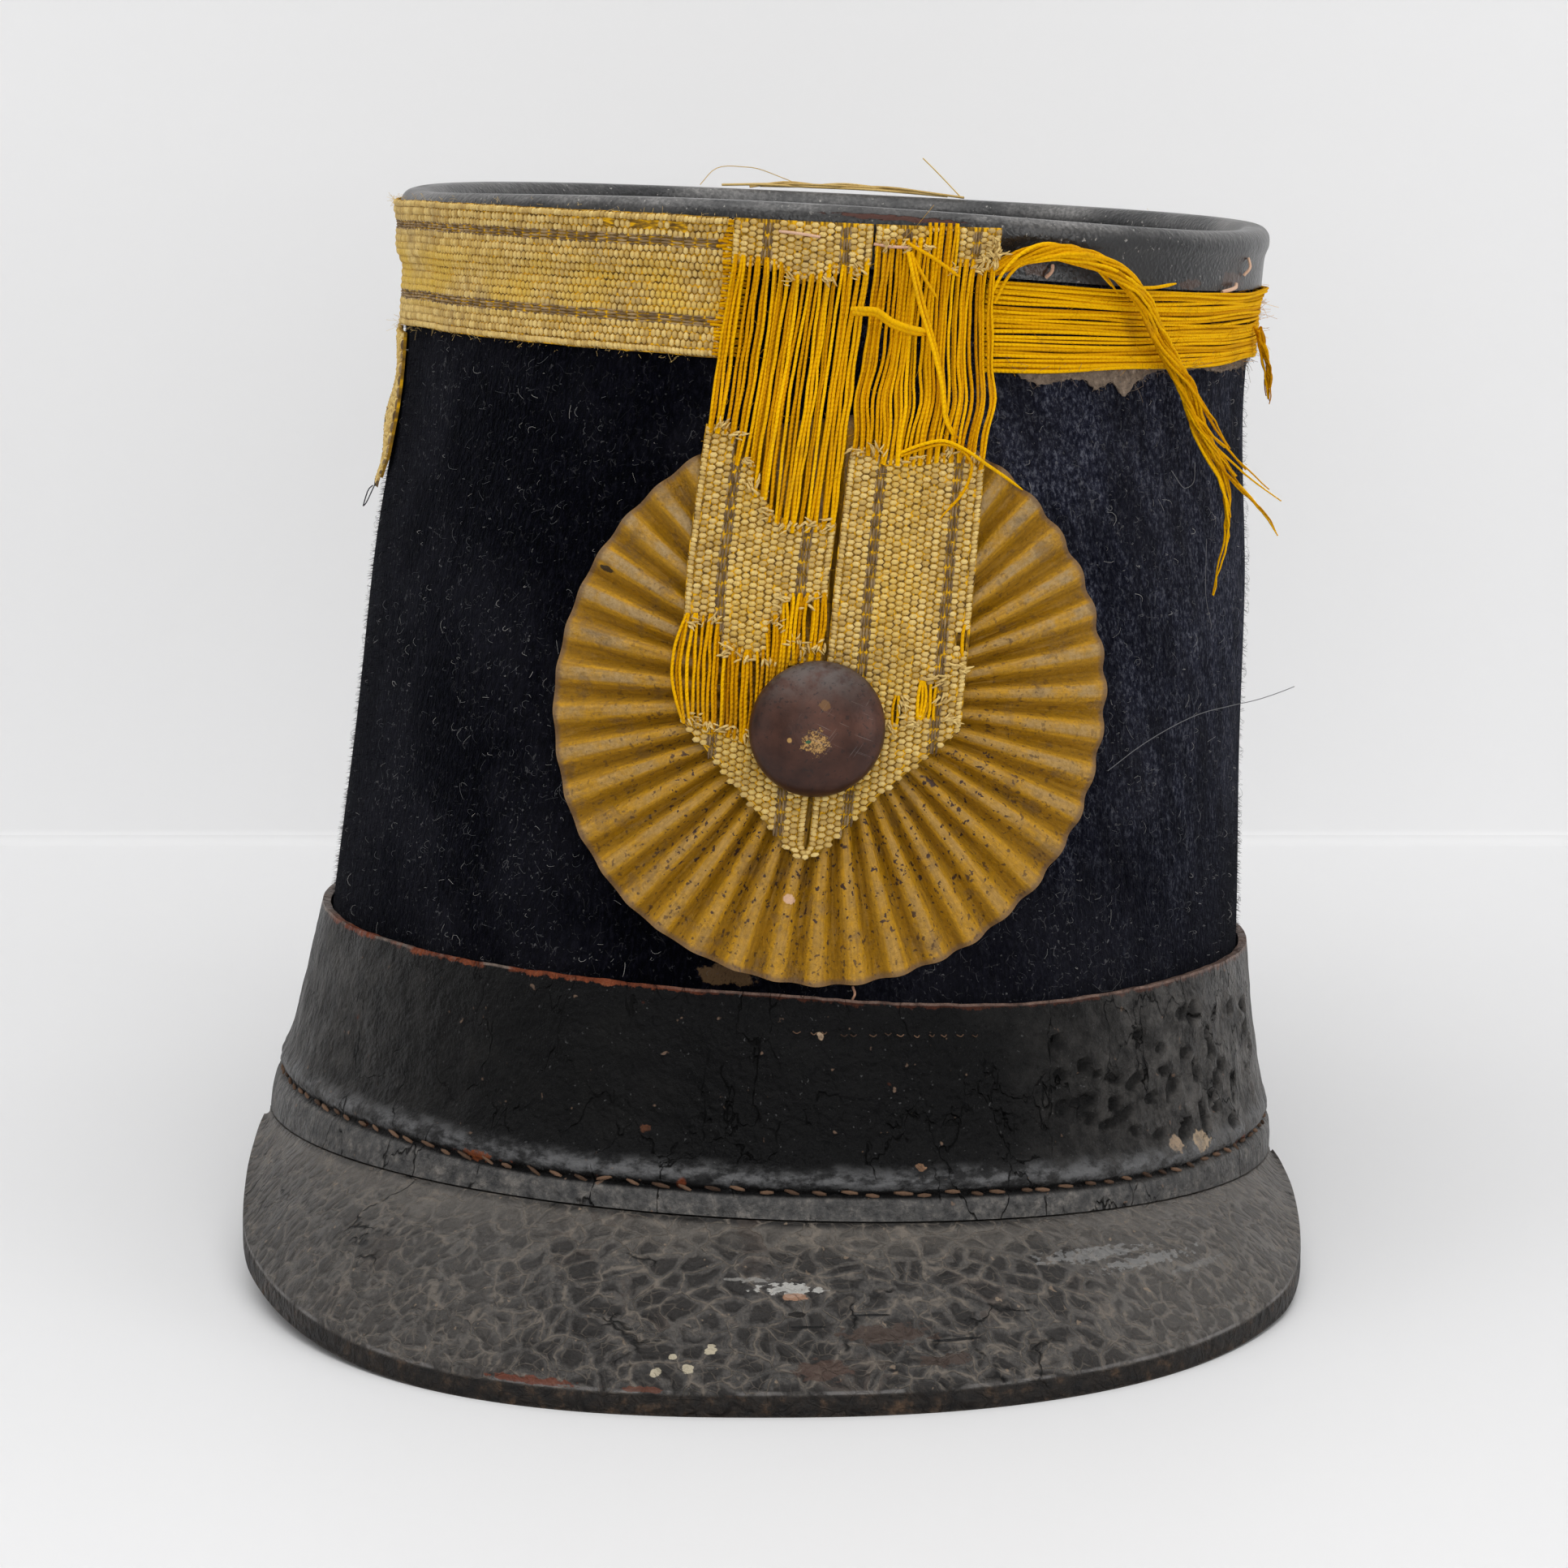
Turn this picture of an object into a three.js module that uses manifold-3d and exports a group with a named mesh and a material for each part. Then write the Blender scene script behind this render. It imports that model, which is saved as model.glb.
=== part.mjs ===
// A nineteenth-century military kepi of the tall shako form, standing on the front edge of its
// peak and the rear of its hem. Millimetres, +Z up, the peak towards -Y.
// Pieces: cloth body, leather crown top, leather hem band, leather peak, woven braid round the top
// with a stretch where only the warp is left, front loop of the same braid, pleated tin cockade,
// domed button, and three frayed ends of yarn.
import * as THREE from "three";
import { mergeVertices } from "three/addons/utils/BufferGeometryUtils.js";
import Module from "manifold-3d";

const wasm = await Module();
wasm.setup();

// ---------------------------------------------------------------- driving dimensions

// How the kepi stands: it leans back and a little to one side, as its peak holds the front up.
const LEAN_BACK = THREE.MathUtils.degToRad(7.5);
const LEAN_SIDE = THREE.MathUtils.degToRad(2.482);
const BASE_LIFT = 14.104; // the centre of the hem plane above the surface

// The cloth's outer face, a stack of ellipses. "back" moves a section's centre to the rear.
const CLOTH_SECTIONS = [
  { height: 1, halfWidth: 79.0, halfLength: 91.2, back: 0.0 },
  { height: 36, halfWidth: 78.0, halfLength: 89.2, back: 2.0 },
  { height: 68, halfWidth: 76.1, halfLength: 86.3, back: 3.1 },
  { height: 96, halfWidth: 75.0, halfLength: 83.3, back: 4.2 },
  { height: 131, halfWidth: 72.3, halfLength: 79.6, back: 5.5 },
  { height: 156, halfWidth: 72.6, halfLength: 77.3, back: 6.4 },
  { height: 175, halfWidth: 72.6, halfLength: 77.3, back: 6.4 },
];
const SIDE_DRIFT = 0.029; // sideways drift of the sections' centres for each mm of height
const CLOTH_THICKNESS = 2.5;
const GAP = 0.3; // left between pieces that touch

// Crown top: the height of its rolled rim, and its section from the skirt over the roll to the
// sunken disc. "out" is measured from the cloth's face, "drop" down from the rim.
const RIM = { height: 157.8, frontRise: 4.2, rearFall: 1.3, turn: 8 };
const SKIRT_DROP = 10;
const CROWN_SECTION = [
  { out: 1.3, drop: SKIRT_DROP, innerOut: 0.3, innerDrop: SKIRT_DROP },
  { out: 1.4, drop: 5.5, innerOut: 0.3, innerDrop: 5.5 },
  { out: 2.0, drop: 3.0, innerOut: 0.3, innerDrop: 3.4 },
  { out: 1.6, drop: 1.2, innerOut: 0.3, innerDrop: 2.7 },
  { out: 0.2, drop: 0.15, innerOut: -0.6, innerDrop: 2.6 },
  { out: -1.8, drop: 0.15, innerOut: -1.6, innerDrop: 2.6 },
  { out: -3.5, drop: 1.3, innerOut: -2.8, innerDrop: 2.7 },
  { out: -4.1, drop: 3.4, innerOut: -2.8, innerDrop: 3.6 },
  { out: -4.1, drop: 8.6, innerOut: -2.8, innerDrop: 10.2 },
];
const DISC_SAG = 1.2; // the disc's middle below its edge
const CLOTH_TOP_DROP = 3.1; // the cloth's top edge below the rim, inside the roll

// Leather hem band. Its foot turns out into a flange over the peak.
const BAND = { height: 35.5, thickness: 1.6, topOut: 1.9, bodyOut: 2.15, rearHem: 3.2 };
const BAND_DIP = { angle: 28, depth: 1.6, spread: 24 }; // the worn dip in its top edge
const FLANGE_SECTION = [
  { height: -5, out: 5.4 },
  { height: 0, out: 5.3 },
  { height: 3, out: 5.2 },
  { height: 5.6, out: 4.7 },
  { height: 9, out: 3.9 },
  { height: 13.4, out: 2.8 },
  { height: 19, out: 1.8 },
  { height: 26, out: 0.9 },
  { height: 36, out: 0 },
];
const FLANGE_END = { from: 95, to: 135 }; // the flange fades out between these angles
const HEM_DROP = { from: 88, to: 110 }; // and the hem drops past the peak's ends between these

// Peak: from under the flange down to an outer edge given on the surface the kepi stands on.
const PEAK = {
  tuck: 3.5,
  underTuck: 1,
  thickness: 2.7,
  edgeHeight: 4,
  edgeRound: 0.6,
  bulge: 2.2,
  seamAngle: 86,
};
const PEAK_EDGE = { centreX: 1.2, centreY: -15, halfWidth: 91.3, reach: 102.1, power: 0.844 };
const PEAK_LIFT = { flatTo: 38, height: 4 };
// The ends draw in towards the seam past these angles, on the -X and the +X side.
const PEAK_ENDS = { low: { from: 76, share: 0.55 }, high: { from: 66, share: 0.72 } };

// Braid: height of its lower and upper edge at each angle round the top.
const BRAID_THICKNESS = 1.0;
const SKIRT_STEP = { below: 3, above: 0.4 }; // the braid climbs on the skirt between these
const WOVEN_EDGES = [
  { angle: -236, low: 133.5, high: 155.5 },
  { angle: -200, low: 132.6, high: 154.9 },
  { angle: -150, low: 132.4, high: 154.7 },
  { angle: -105, low: 133.6, high: 155.3 },
  { angle: -75, low: 135.6, high: 156.8 },
  { angle: -50, low: 136.3, high: 158.3 },
  { angle: -14, low: 136.4, high: 159.2 },
];
const WARP_EDGES = [
  { angle: 20, low: 135.6, high: 150.4 },
  { angle: 29, low: 135.6, high: 149.2 },
  { angle: 50, low: 135.7, high: 147.5 },
  { angle: 75, low: 135.6, high: 146.6 },
  { angle: 100, low: 134.6, high: 146.4 },
  { angle: 122, low: 134.2, high: 146.2 },
];

// Front loop: two widths of braid side by side, folded to a point. "across" is sideways from the
// hat's middle plane; "out" is how far the back of the braid stands off the cloth.
const LOOP_THICKNESS = 1.3;
const ON_COCKADE = { out: 3.8, bodyRadius: 70 }; // where the loop lies on the cockade, and the
// radius of the body's front, to which the flatter cockade is compared
const LOOP_ROWS = [
  { height: 57.7, left: 1.2, leftSlit: 3.4, rightSlit: 2.2, right: 4.4, out: 3.8 },
  { height: 59.6, left: -0.6, leftSlit: 2.5, rightSlit: 3.3, right: 6.2, out: 3.8 },
  { height: 68, left: -8.4, leftSlit: 3.0, rightSlit: 3.8, right: 14.4, out: 3.8 },
  { height: 78.9, left: -18.3, leftSlit: 3.6, rightSlit: 4.4, right: 27.2, out: 3.8 },
  { height: 90, left: -18.5, leftSlit: 4.3, rightSlit: 5.1, right: 27.8, out: 3.8 },
  { height: 103.6, left: -18.2, leftSlit: 5.0, rightSlit: 5.8, right: 28.5, out: 3.8 },
  { height: 119, left: -16.8, leftSlit: 6.4, rightSlit: 7.0, right: 29.2, out: 4.0 },
  { height: 129.5, left: -15.7, leftSlit: 7.5, rightSlit: 7.9, right: 29.8, out: 4.0 },
  { height: 135, left: -15.1, leftSlit: 8.1, rightSlit: 8.5, right: 30.1, out: 1.9 },
  { height: 147, left: -13.6, leftSlit: 9.2, rightSlit: 9.6, right: 29.7, out: 1.9 },
  { height: 150.5, left: -13.2, leftSlit: 9.5, rightSlit: 9.9, right: 29.8, out: 2.9 },
  { height: 158.2, left: -12.9, leftSlit: 9.7, rightSlit: 10.1, right: 30.6, out: 3.0 },
];
const LOOP_BRIDGE = { low: 70, high: 88, left: -1, right: 9 }; // joins both widths under the button

// Cockade and button, on the front of the body.
const FRONT = { angle: 3.0, height: 82.3 };
const COCKADE = {
  across: 5.5,
  radius: 46.2,
  pleats: 42,
  pleatDepth: 1.1,
  fullDepthFrom: 28,
  thickness: 0.7,
  bend: 120,
  out: 2.0,
};
const BUTTON = { angle: 1.1, height: 78.3, radius: 11, rise: 6.2, edge: 1.2, foot: 10.2, out: 5.45 };

// Frayed yarn: each lock runs through its stations, with the given radius.
const BUNDLE_STEM = [
  { angle: 22.9, height: 154.6, out: 3.4, radius: 1.5 },
  { angle: 26.3, height: 156.9, out: 4.6, radius: 1.7 },
  { angle: 31.6, height: 155.2, out: 5.2, radius: 1.8 },
  { angle: 38.6, height: 150.3, out: 5.4, radius: 1.9 },
  { angle: 44.0, height: 141.0, out: 4.4, radius: 2.0 },
  { angle: 50.0, height: 133.0, out: 4.0, radius: 2.1 },
  { angle: 53.0, height: 128.0, out: 4.2, radius: 1.6 },
];
const BUNDLE_TIPS = [
  [
    { angle: 49.6, height: 134.0, out: 4.2, radius: 1.3 },
    { angle: 55.0, height: 125.0, out: 5.6, radius: 1.3 },
    { angle: 59.0, height: 117.0, out: 10.0, radius: 0.8 },
    { angle: 61.2, height: 110.6, out: 14.0, radius: 0.3 },
  ],
  [
    { angle: 49.4, height: 134.0, out: 4.4, radius: 1.2 },
    { angle: 56.0, height: 126.0, out: 7.0, radius: 1.1 },
    { angle: 61.5, height: 116.1, out: 15.0, radius: 0.3 },
  ],
  [
    { angle: 50.0, height: 133.0, out: 4.4, radius: 1.3 },
    { angle: 55.0, height: 122.0, out: 5.2, radius: 1.2 },
    { angle: 58.4, height: 112.0, out: 7.5, radius: 0.9 },
    { angle: 59.5, height: 103.9, out: 4.5, radius: 0.6 },
    { angle: 59.0, height: 96.5, out: 3.2, radius: 0.3 },
  ],
];
const TUFT = [
  { angle: 76.0, height: 141.0, out: 2.6, radius: 0.8 },
  { angle: 77.5, height: 137.0, out: 3.6, radius: 1.0 },
  { angle: 79.0, height: 133.0, out: 4.2, radius: 0.9 },
  { angle: 79.0, height: 128.0, out: 4.8, radius: 0.4 },
];
const REMNANT_ROWS = [
  { height: 108, from: -83, to: -87, out: 0.9 },
  { height: 113, from: -79, to: -90, out: 0.8 },
  { height: 122, from: -79, to: -93, out: 0.5 },
  { height: 133.6, from: -80, to: -94, out: 0.3 },
];
const REMNANT_THICKNESS = 1.0;

// Fineness of the faceting.
const ROUND_STEPS = 56;
const LOCK_SIDES = 7;

// ---------------------------------------------------------------- materials

function finish(color, roughness, metalness = 0) {
  return new THREE.MeshStandardMaterial({ color, roughness, metalness });
}

const CLOTH = finish("#14161f", 0.95);
const CROWN_LEATHER = finish("#2a2b2d", 0.5);
const BAND_LEATHER = finish("#2c2b2a", 0.6);
const PEAK_LEATHER = finish("#3a3733", 0.65);
const BRAID = finish("#b59a5c", 0.9);
const YARN = finish("#d9a514", 0.85);
const PAINTED_TIN = finish("#8f6d1f", 0.55, 0.2);
const COPPER = finish("#4f342a", 0.45, 0.7);

// ---------------------------------------------------------------- small helpers

const radians = THREE.MathUtils.degToRad;

// A column of a table read at any place along its key, in straight steps between the rows.
function read(rows, key, at, column) {
  const next = rows.findIndex((row) => row[key] >= at);
  if (next === 0) return rows[0][column];
  if (next < 0) return rows[rows.length - 1][column];
  const low = rows[next - 1];
  const high = rows[next];
  const share = (at - low[key]) / (high[key] - low[key]);
  return THREE.MathUtils.lerp(low[column], high[column], share);
}

function steps(from, to, count) {
  return Array.from({ length: count + 1 }, (_, i) => from + ((to - from) * i) / count);
}

function fade(angle, span) {
  return THREE.MathUtils.smoothstep(Math.abs(angle), span.from, span.to);
}

// An angle brought into -180 to 180 degrees. Angle 0 is the front, and 90 the kepi's +X side.
function wrapAngle(angle) {
  return THREE.MathUtils.euclideanModulo(angle + 180, 360) - 180;
}

// A point on the body: an angle round it, a height above the hem plane, and a distance out from
// the cloth's face.
function shellPoint(angle, height, out) {
  const halfWidth = read(CLOTH_SECTIONS, "height", height, "halfWidth");
  const halfLength = read(CLOTH_SECTIONS, "height", height, "halfLength");
  const back = read(CLOTH_SECTIONS, "height", height, "back");
  const turn = radians(angle);
  const normal = new THREE.Vector2(halfLength * Math.sin(turn), -halfWidth * Math.cos(turn));
  normal.normalize().multiplyScalar(out);
  return new THREE.Vector3(
    halfWidth * Math.sin(turn) + SIDE_DRIFT * height + normal.x,
    -halfLength * Math.cos(turn) + back + normal.y,
    height,
  );
}

// The angle at which a point that stands off the body's front lies the given distance across.
function angleAcross(across, height, out) {
  const halfWidth = read(CLOTH_SECTIONS, "height", height, "halfWidth");
  const halfLength = read(CLOTH_SECTIONS, "height", height, "halfLength");
  const reach = halfWidth + (out * halfLength) / halfWidth;
  return THREE.MathUtils.radToDeg(Math.asin((across - SIDE_DRIFT * height) / reach));
}

// A frame on the body's front: x across, y up the cloth, z straight out.
function frontFrame(angle, height, out) {
  const across = shellPoint(angle + 1, height, 0).sub(shellPoint(angle - 1, height, 0)).normalize();
  const up = shellPoint(angle, height + 5, 0).sub(shellPoint(angle, height - 5, 0)).normalize();
  const normal = across.clone().cross(up).normalize();
  const frame = new THREE.Matrix4().makeBasis(across, normal.clone().cross(across), normal);
  const origin = shellPoint(angle, height, 0).addScaledVector(normal, out);
  return frame.setPosition(origin);
}

// ---------------------------------------------------------------- solids

// A closed solid from a list of points and triangles: points that meet are merged, triangles
// without area are dropped, and the faces are turned outwards.
function solidFrom(points, triangles) {
  const loose = new THREE.BufferGeometry().setFromPoints(points);
  loose.setIndex(triangles.flat());
  const merged = mergeVertices(loose, 1e-3);
  const index = Array.from(merged.index.array);
  const kept = [];
  for (let i = 0; i < index.length; i += 3) {
    const [a, b, c] = index.slice(i, i + 3);
    if (a !== b && b !== c && c !== a) kept.push(a, b, c);
  }
  const build = (order) =>
    new wasm.Manifold(
      new wasm.Mesh({
        numProp: 3,
        vertProperties: new Float32Array(merged.attributes.position.array),
        triVerts: new Uint32Array(order),
      }),
    );
  const made = build(kept);
  return made.volume() > 0 ? made : build(kept.reverse());
}

// The wall between two grids of points of one size, front[i][j] and back[i][j]. "ring" joins the
// last row of the grids to the first.
function wall(front, back, ring = false) {
  const rows = front.length;
  const columns = front[0].length;
  const points = [...front.flat(), ...back.flat()];
  const triangles = [];
  const quad = (a, b, c, d) => triangles.push([a, b, c], [a, c, d]);
  const at = (side, i, j) => (side * rows + (i % rows)) * columns + j;
  const spans = ring ? rows : rows - 1;
  for (let i = 0; i < spans; i += 1) {
    for (let j = 0; j < columns - 1; j += 1) {
      quad(at(0, i, j), at(0, i + 1, j), at(0, i + 1, j + 1), at(0, i, j + 1));
      quad(at(1, i, j + 1), at(1, i + 1, j + 1), at(1, i + 1, j), at(1, i, j));
    }
    quad(at(0, i, 0), at(1, i, 0), at(1, i + 1, 0), at(0, i + 1, 0));
    const last = columns - 1;
    quad(at(0, i + 1, last), at(1, i + 1, last), at(1, i, last), at(0, i, last));
  }
  if (!ring) {
    const end = rows - 1;
    for (let j = 0; j < columns - 1; j += 1) {
      quad(at(0, 0, j), at(0, 0, j + 1), at(1, 0, j + 1), at(1, 0, j));
      quad(at(1, end, j), at(1, end, j + 1), at(0, end, j + 1), at(0, end, j));
    }
  }
  return solidFrom(points, triangles);
}

// A lock of yarn through its stations, round in section and tapering as its table says.
function lock(stations) {
  const path = new THREE.CatmullRomCurve3(stations.map((s) => shellPoint(s.angle, s.height, s.out)));
  const rings = 3 * (stations.length - 1);
  const frames = path.computeFrenetFrames(rings);
  const points = [];
  const triangles = [];
  for (let i = 0; i <= rings; i += 1) {
    const share = i / rings;
    const place = share * (stations.length - 1);
    const low = Math.min(Math.floor(place), stations.length - 2);
    const radius = THREE.MathUtils.lerp(stations[low].radius, stations[low + 1].radius, place - low);
    const centre = path.getPoint(share);
    for (let k = 0; k < LOCK_SIDES; k += 1) {
      const turn = (2 * Math.PI * k) / LOCK_SIDES;
      const point = centre.clone();
      point.addScaledVector(frames.normals[i], radius * Math.cos(turn));
      point.addScaledVector(frames.binormals[i], radius * Math.sin(turn));
      points.push(point);
    }
  }
  for (let i = 0; i < rings; i += 1) {
    for (let k = 0; k < LOCK_SIDES; k += 1) {
      const a = i * LOCK_SIDES + k;
      const b = i * LOCK_SIDES + ((k + 1) % LOCK_SIDES);
      triangles.push([a, b, b + LOCK_SIDES], [a, b + LOCK_SIDES, a + LOCK_SIDES]);
    }
  }
  const lastRing = rings * LOCK_SIDES;
  for (let k = 1; k < LOCK_SIDES - 1; k += 1) {
    triangles.push([0, k + 1, k], [lastRing, lastRing + k, lastRing + k + 1]);
  }
  return solidFrom(points, triangles);
}

function joined(solids) {
  return solids.reduce((sum, next) => sum.add(next));
}

function meshOf(name, solid, material) {
  const made = solid.getMesh();
  const geometry = new THREE.BufferGeometry();
  geometry.setAttribute("position", new THREE.BufferAttribute(made.vertProperties, 3));
  geometry.setIndex(new THREE.BufferAttribute(made.triVerts, 1));
  geometry.computeVertexNormals();
  const mesh = new THREE.Mesh(geometry, material);
  mesh.name = name;
  return mesh;
}

// ---------------------------------------------------------------- the kepi's own heights

// The rolled rim is highest a little to one side of the front, and lowest behind.
function rimHeight(angle) {
  const cosine = Math.cos(radians(angle + RIM.turn));
  return RIM.height + (cosine > 0 ? RIM.frontRise : -RIM.rearFall) * cosine * cosine;
}

function bandTop(angle) {
  const away = (wrapAngle(angle) - BAND_DIP.angle) / BAND_DIP.spread;
  return BAND.height - BAND_DIP.depth * Math.exp(-away * away);
}

// The height in the kepi's own frame at which a plan point meets the surface it stands on.
function surfaceHeight(point) {
  const lift = (BASE_LIFT - Math.sin(LEAN_SIDE) * point.x) / Math.cos(LEAN_SIDE);
  return (Math.sin(LEAN_BACK) * point.y - lift) / Math.cos(LEAN_BACK);
}

function flangeOut(angle, height) {
  const share = 1 - fade(wrapAngle(angle), FLANGE_END);
  return BAND.bodyOut + share * read(FLANGE_SECTION, "height", height, "out");
}

// A point of the hem, no lower than the surface that the kepi stands on.
function hemPoint(angle, out) {
  const drop = -BAND.rearHem * fade(wrapAngle(angle), HEM_DROP);
  const point = shellPoint(angle, drop, out);
  return point.setZ(Math.max(drop, surfaceHeight(point)));
}

// ---------------------------------------------------------------- pieces

function clothBody() {
  const shares = [0, 0.22, 0.43, 0.62, 0.84, 1];
  const column = (angle, out) => {
    const top = rimHeight(angle) - CLOTH_TOP_DROP;
    return shares.map((share) => shellPoint(angle, THREE.MathUtils.lerp(1, top, share), out));
  };
  const angles = steps(0, 360, ROUND_STEPS).slice(0, -1);
  return wall(
    angles.map((angle) => column(angle, 0)),
    angles.map((angle) => column(angle, -CLOTH_THICKNESS)),
    true,
  );
}

function crownTop() {
  const angles = steps(0, 360, ROUND_STEPS).slice(0, -1);
  const discDrop = CROWN_SECTION[CROWN_SECTION.length - 1];
  const centre = (drop) => shellPoint(90, RIM.height - drop - DISC_SAG, 0).setX(SIDE_DRIFT * RIM.height);
  const column = (angle, out, drop) => {
    const points = CROWN_SECTION.map((row) => shellPoint(angle, rimHeight(angle) - row[drop], row[out]));
    return [...points, centre(discDrop[drop])];
  };
  return wall(
    angles.map((angle) => column(angle, "out", "drop")),
    angles.map((angle) => column(angle, "innerOut", "innerDrop")),
    true,
  );
}

function leatherBand() {
  const heights = [3, 6, 9.5, 14, 20, 27];
  const angles = steps(0, 360, ROUND_STEPS).slice(0, -1);
  const column = (angle, inset) => [
    hemPoint(angle, flangeOut(angle, 0) - inset),
    ...heights.map((height) => shellPoint(angle, height, flangeOut(angle, height) - inset)),
    shellPoint(angle, bandTop(angle), BAND.topOut - Math.min(inset, BAND.topOut - GAP)),
  ];
  return wall(
    angles.map((angle) => column(angle, 0)),
    angles.map((angle) => column(angle, BAND.thickness)),
    true,
  );
}

// The peak's outer edge: a superellipse on the surface, whose ends rise and draw in to the seam.
function peakEdge(turn, rise, toHat) {
  const sine = Math.sin(radians(turn));
  const cosine = Math.cos(radians(turn));
  const x = PEAK_EDGE.centreX + PEAK_EDGE.halfWidth * Math.sign(sine) * Math.abs(sine) ** PEAK_EDGE.power;
  const y = PEAK_EDGE.centreY - PEAK_EDGE.reach * Math.abs(cosine) ** PEAK_EDGE.power;
  const along = Math.max(0, (Math.abs(turn) - PEAK_LIFT.flatTo) / (90 - PEAK_LIFT.flatTo));
  const lift = PEAK_LIFT.height * along * along;
  const drawn = turn < 0 ? PEAK_ENDS.low : PEAK_ENDS.high;
  const end = Math.max(0, (Math.abs(turn) - drawn.from) / (90 - drawn.from));
  const edge = new THREE.Vector3(x, y, lift + rise).applyMatrix4(toHat);
  const meeting = peakSeam(turn, 0).setZ(rise - PEAK.edgeHeight - GAP);
  return edge.lerp(meeting, drawn.share * end * end);
}

// The peak's inner edge, under the flange: "inset" is how far it is tucked in.
function peakSeam(turn, inset) {
  const angle = (turn / 90) * PEAK.seamAngle;
  return shellPoint(angle, 0, flangeOut(angle, 0) - inset).setZ(-GAP);
}

function peak(toHat) {
  const shares = [0.3, 0.6, 0.85];
  const turns = steps(-90, 90, 36);
  const surface = (turn, share) => {
    const from = peakSeam(turn, 0);
    const to = peakEdge(turn, PEAK.edgeHeight, toHat);
    const across = peakSeam(Math.min(turn + 2, 90), 0).sub(peakSeam(Math.max(turn - 2, -90), 0));
    const normal = across.cross(to.clone().sub(from)).normalize();
    if (normal.z < 0) normal.negate();
    const point = from.lerp(to, share).addScaledVector(normal, PEAK.bulge * Math.sin(Math.PI * share));
    return { point, normal };
  };
  const top = turns.map((turn) => [
    peakSeam(turn, PEAK.tuck),
    peakSeam(turn, 0),
    ...shares.map((share) => surface(turn, share).point),
    peakEdge(turn, PEAK.edgeHeight - PEAK.edgeRound, toHat),
  ]);
  const under = turns.map((turn) => [
    peakSeam(turn, PEAK.tuck).setZ(-GAP - PEAK.thickness),
    peakSeam(turn, PEAK.underTuck).setZ(-GAP - PEAK.thickness),
    ...shares.map((share) => {
      const { point, normal } = surface(turn, share);
      return point.addScaledVector(normal, -PEAK.thickness);
    }),
    peakEdge(turn, 0, toHat),
  ]);
  return wall(top, under);
}

// A wall of braid round the body. "column" gives the heights and stand-offs of its back at an
// angle, from the low edge to the high one.
function braidRound(edges, count, column) {
  const angles = steps(edges[0].angle, edges[edges.length - 1].angle, count);
  const grid = (thickness) =>
    angles.map((angle) => {
      const low = read(edges, "angle", angle, "low");
      const high = read(edges, "angle", angle, "high");
      return column(angle, low, high).map((row) => shellPoint(angle, row.height, row.out + thickness));
    });
  return wall(grid(BRAID_THICKNESS), grid(0));
}

// The woven braid lies on the cloth, steps up on the crown's skirt and laps its rolled rim.
function wovenBraid() {
  const [foot, waist, roll] = CROWN_SECTION;
  return braidRound(WOVEN_EDGES, 44, (angle, low, high) => {
    const rim = rimHeight(angle);
    return [
      { height: low, out: GAP },
      { height: rim - foot.drop - SKIRT_STEP.below, out: GAP },
      { height: rim - foot.drop - SKIRT_STEP.above, out: foot.out + GAP },
      { height: rim - waist.drop, out: waist.out + GAP },
      { height: rim - roll.drop - GAP, out: roll.out + GAP },
      { height: high, out: roll.out + GAP },
    ];
  });
}

// Where the weft is lost, the bare warp has sunk below the skirt and lies on the cloth.
function bareWarp() {
  return braidRound(WARP_EDGES, 20, (angle, low, high) => [
    { height: low, out: GAP },
    { height: (low + high) / 2, out: GAP },
    { height: high, out: GAP },
  ]);
}

// One width of the front loop, between two columns of its table. It lies on the cockade, which is
// flatter than the body, so it stands off further to the sides.
function loopWidth(rows, left, right) {
  const flatness = (1 / ON_COCKADE.bodyRadius - 1 / COCKADE.bend) / 2;
  const grid = (thickness) =>
    rows.map((row) =>
      steps(row[left], row[right], 3).map((across) => {
        const aside = across - COCKADE.across;
        const onCockade = row.out >= ON_COCKADE.out ? flatness * aside * aside : 0;
        const out = row.out + onCockade + thickness;
        return shellPoint(angleAcross(across, row.height, out), row.height, out);
      }),
    );
  return wall(grid(LOOP_THICKNESS), grid(0));
}

function frontLoop() {
  const bridge = [LOOP_BRIDGE.low, LOOP_BRIDGE.high].map((height) => ({
    height,
    left: LOOP_BRIDGE.left,
    right: LOOP_BRIDGE.right,
    out: ON_COCKADE.out,
  }));
  return joined([
    loopWidth(LOOP_ROWS, "left", "leftSlit"),
    loopWidth(LOOP_ROWS, "rightSlit", "right"),
    loopWidth(bridge, "left", "right"),
  ]);
}

// A tin disc pressed into radial pleats, which deepen from the middle to the rim, and bent round
// an upright axis.
function cockade() {
  const frame = frontFrame(FRONT.angle, FRONT.height, COCKADE.out);
  const radii = [COCKADE.radius, COCKADE.fullDepthFrom, 12, 0];
  const point = (k, radius, side) => {
    const turn = (Math.PI * k) / COCKADE.pleats;
    const depth = Math.min(1, radius / COCKADE.fullDepthFrom) * COCKADE.pleatDepth * (k % 2 ? -1 : 1);
    const bend = (radius * Math.sin(turn)) / COCKADE.bend;
    return new THREE.Vector3(
      COCKADE.bend * Math.sin(bend),
      radius * Math.cos(turn),
      COCKADE.bend * (Math.cos(bend) - 1) + depth + (side * COCKADE.thickness) / 2,
    ).applyMatrix4(frame);
  };
  const folds = Array.from({ length: 2 * COCKADE.pleats }, (_, k) => k);
  return wall(
    folds.map((k) => radii.map((radius) => point(k, radius, 1))),
    folds.map((k) => radii.map((radius) => point(k, radius, -1))),
    true,
  );
}

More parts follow.
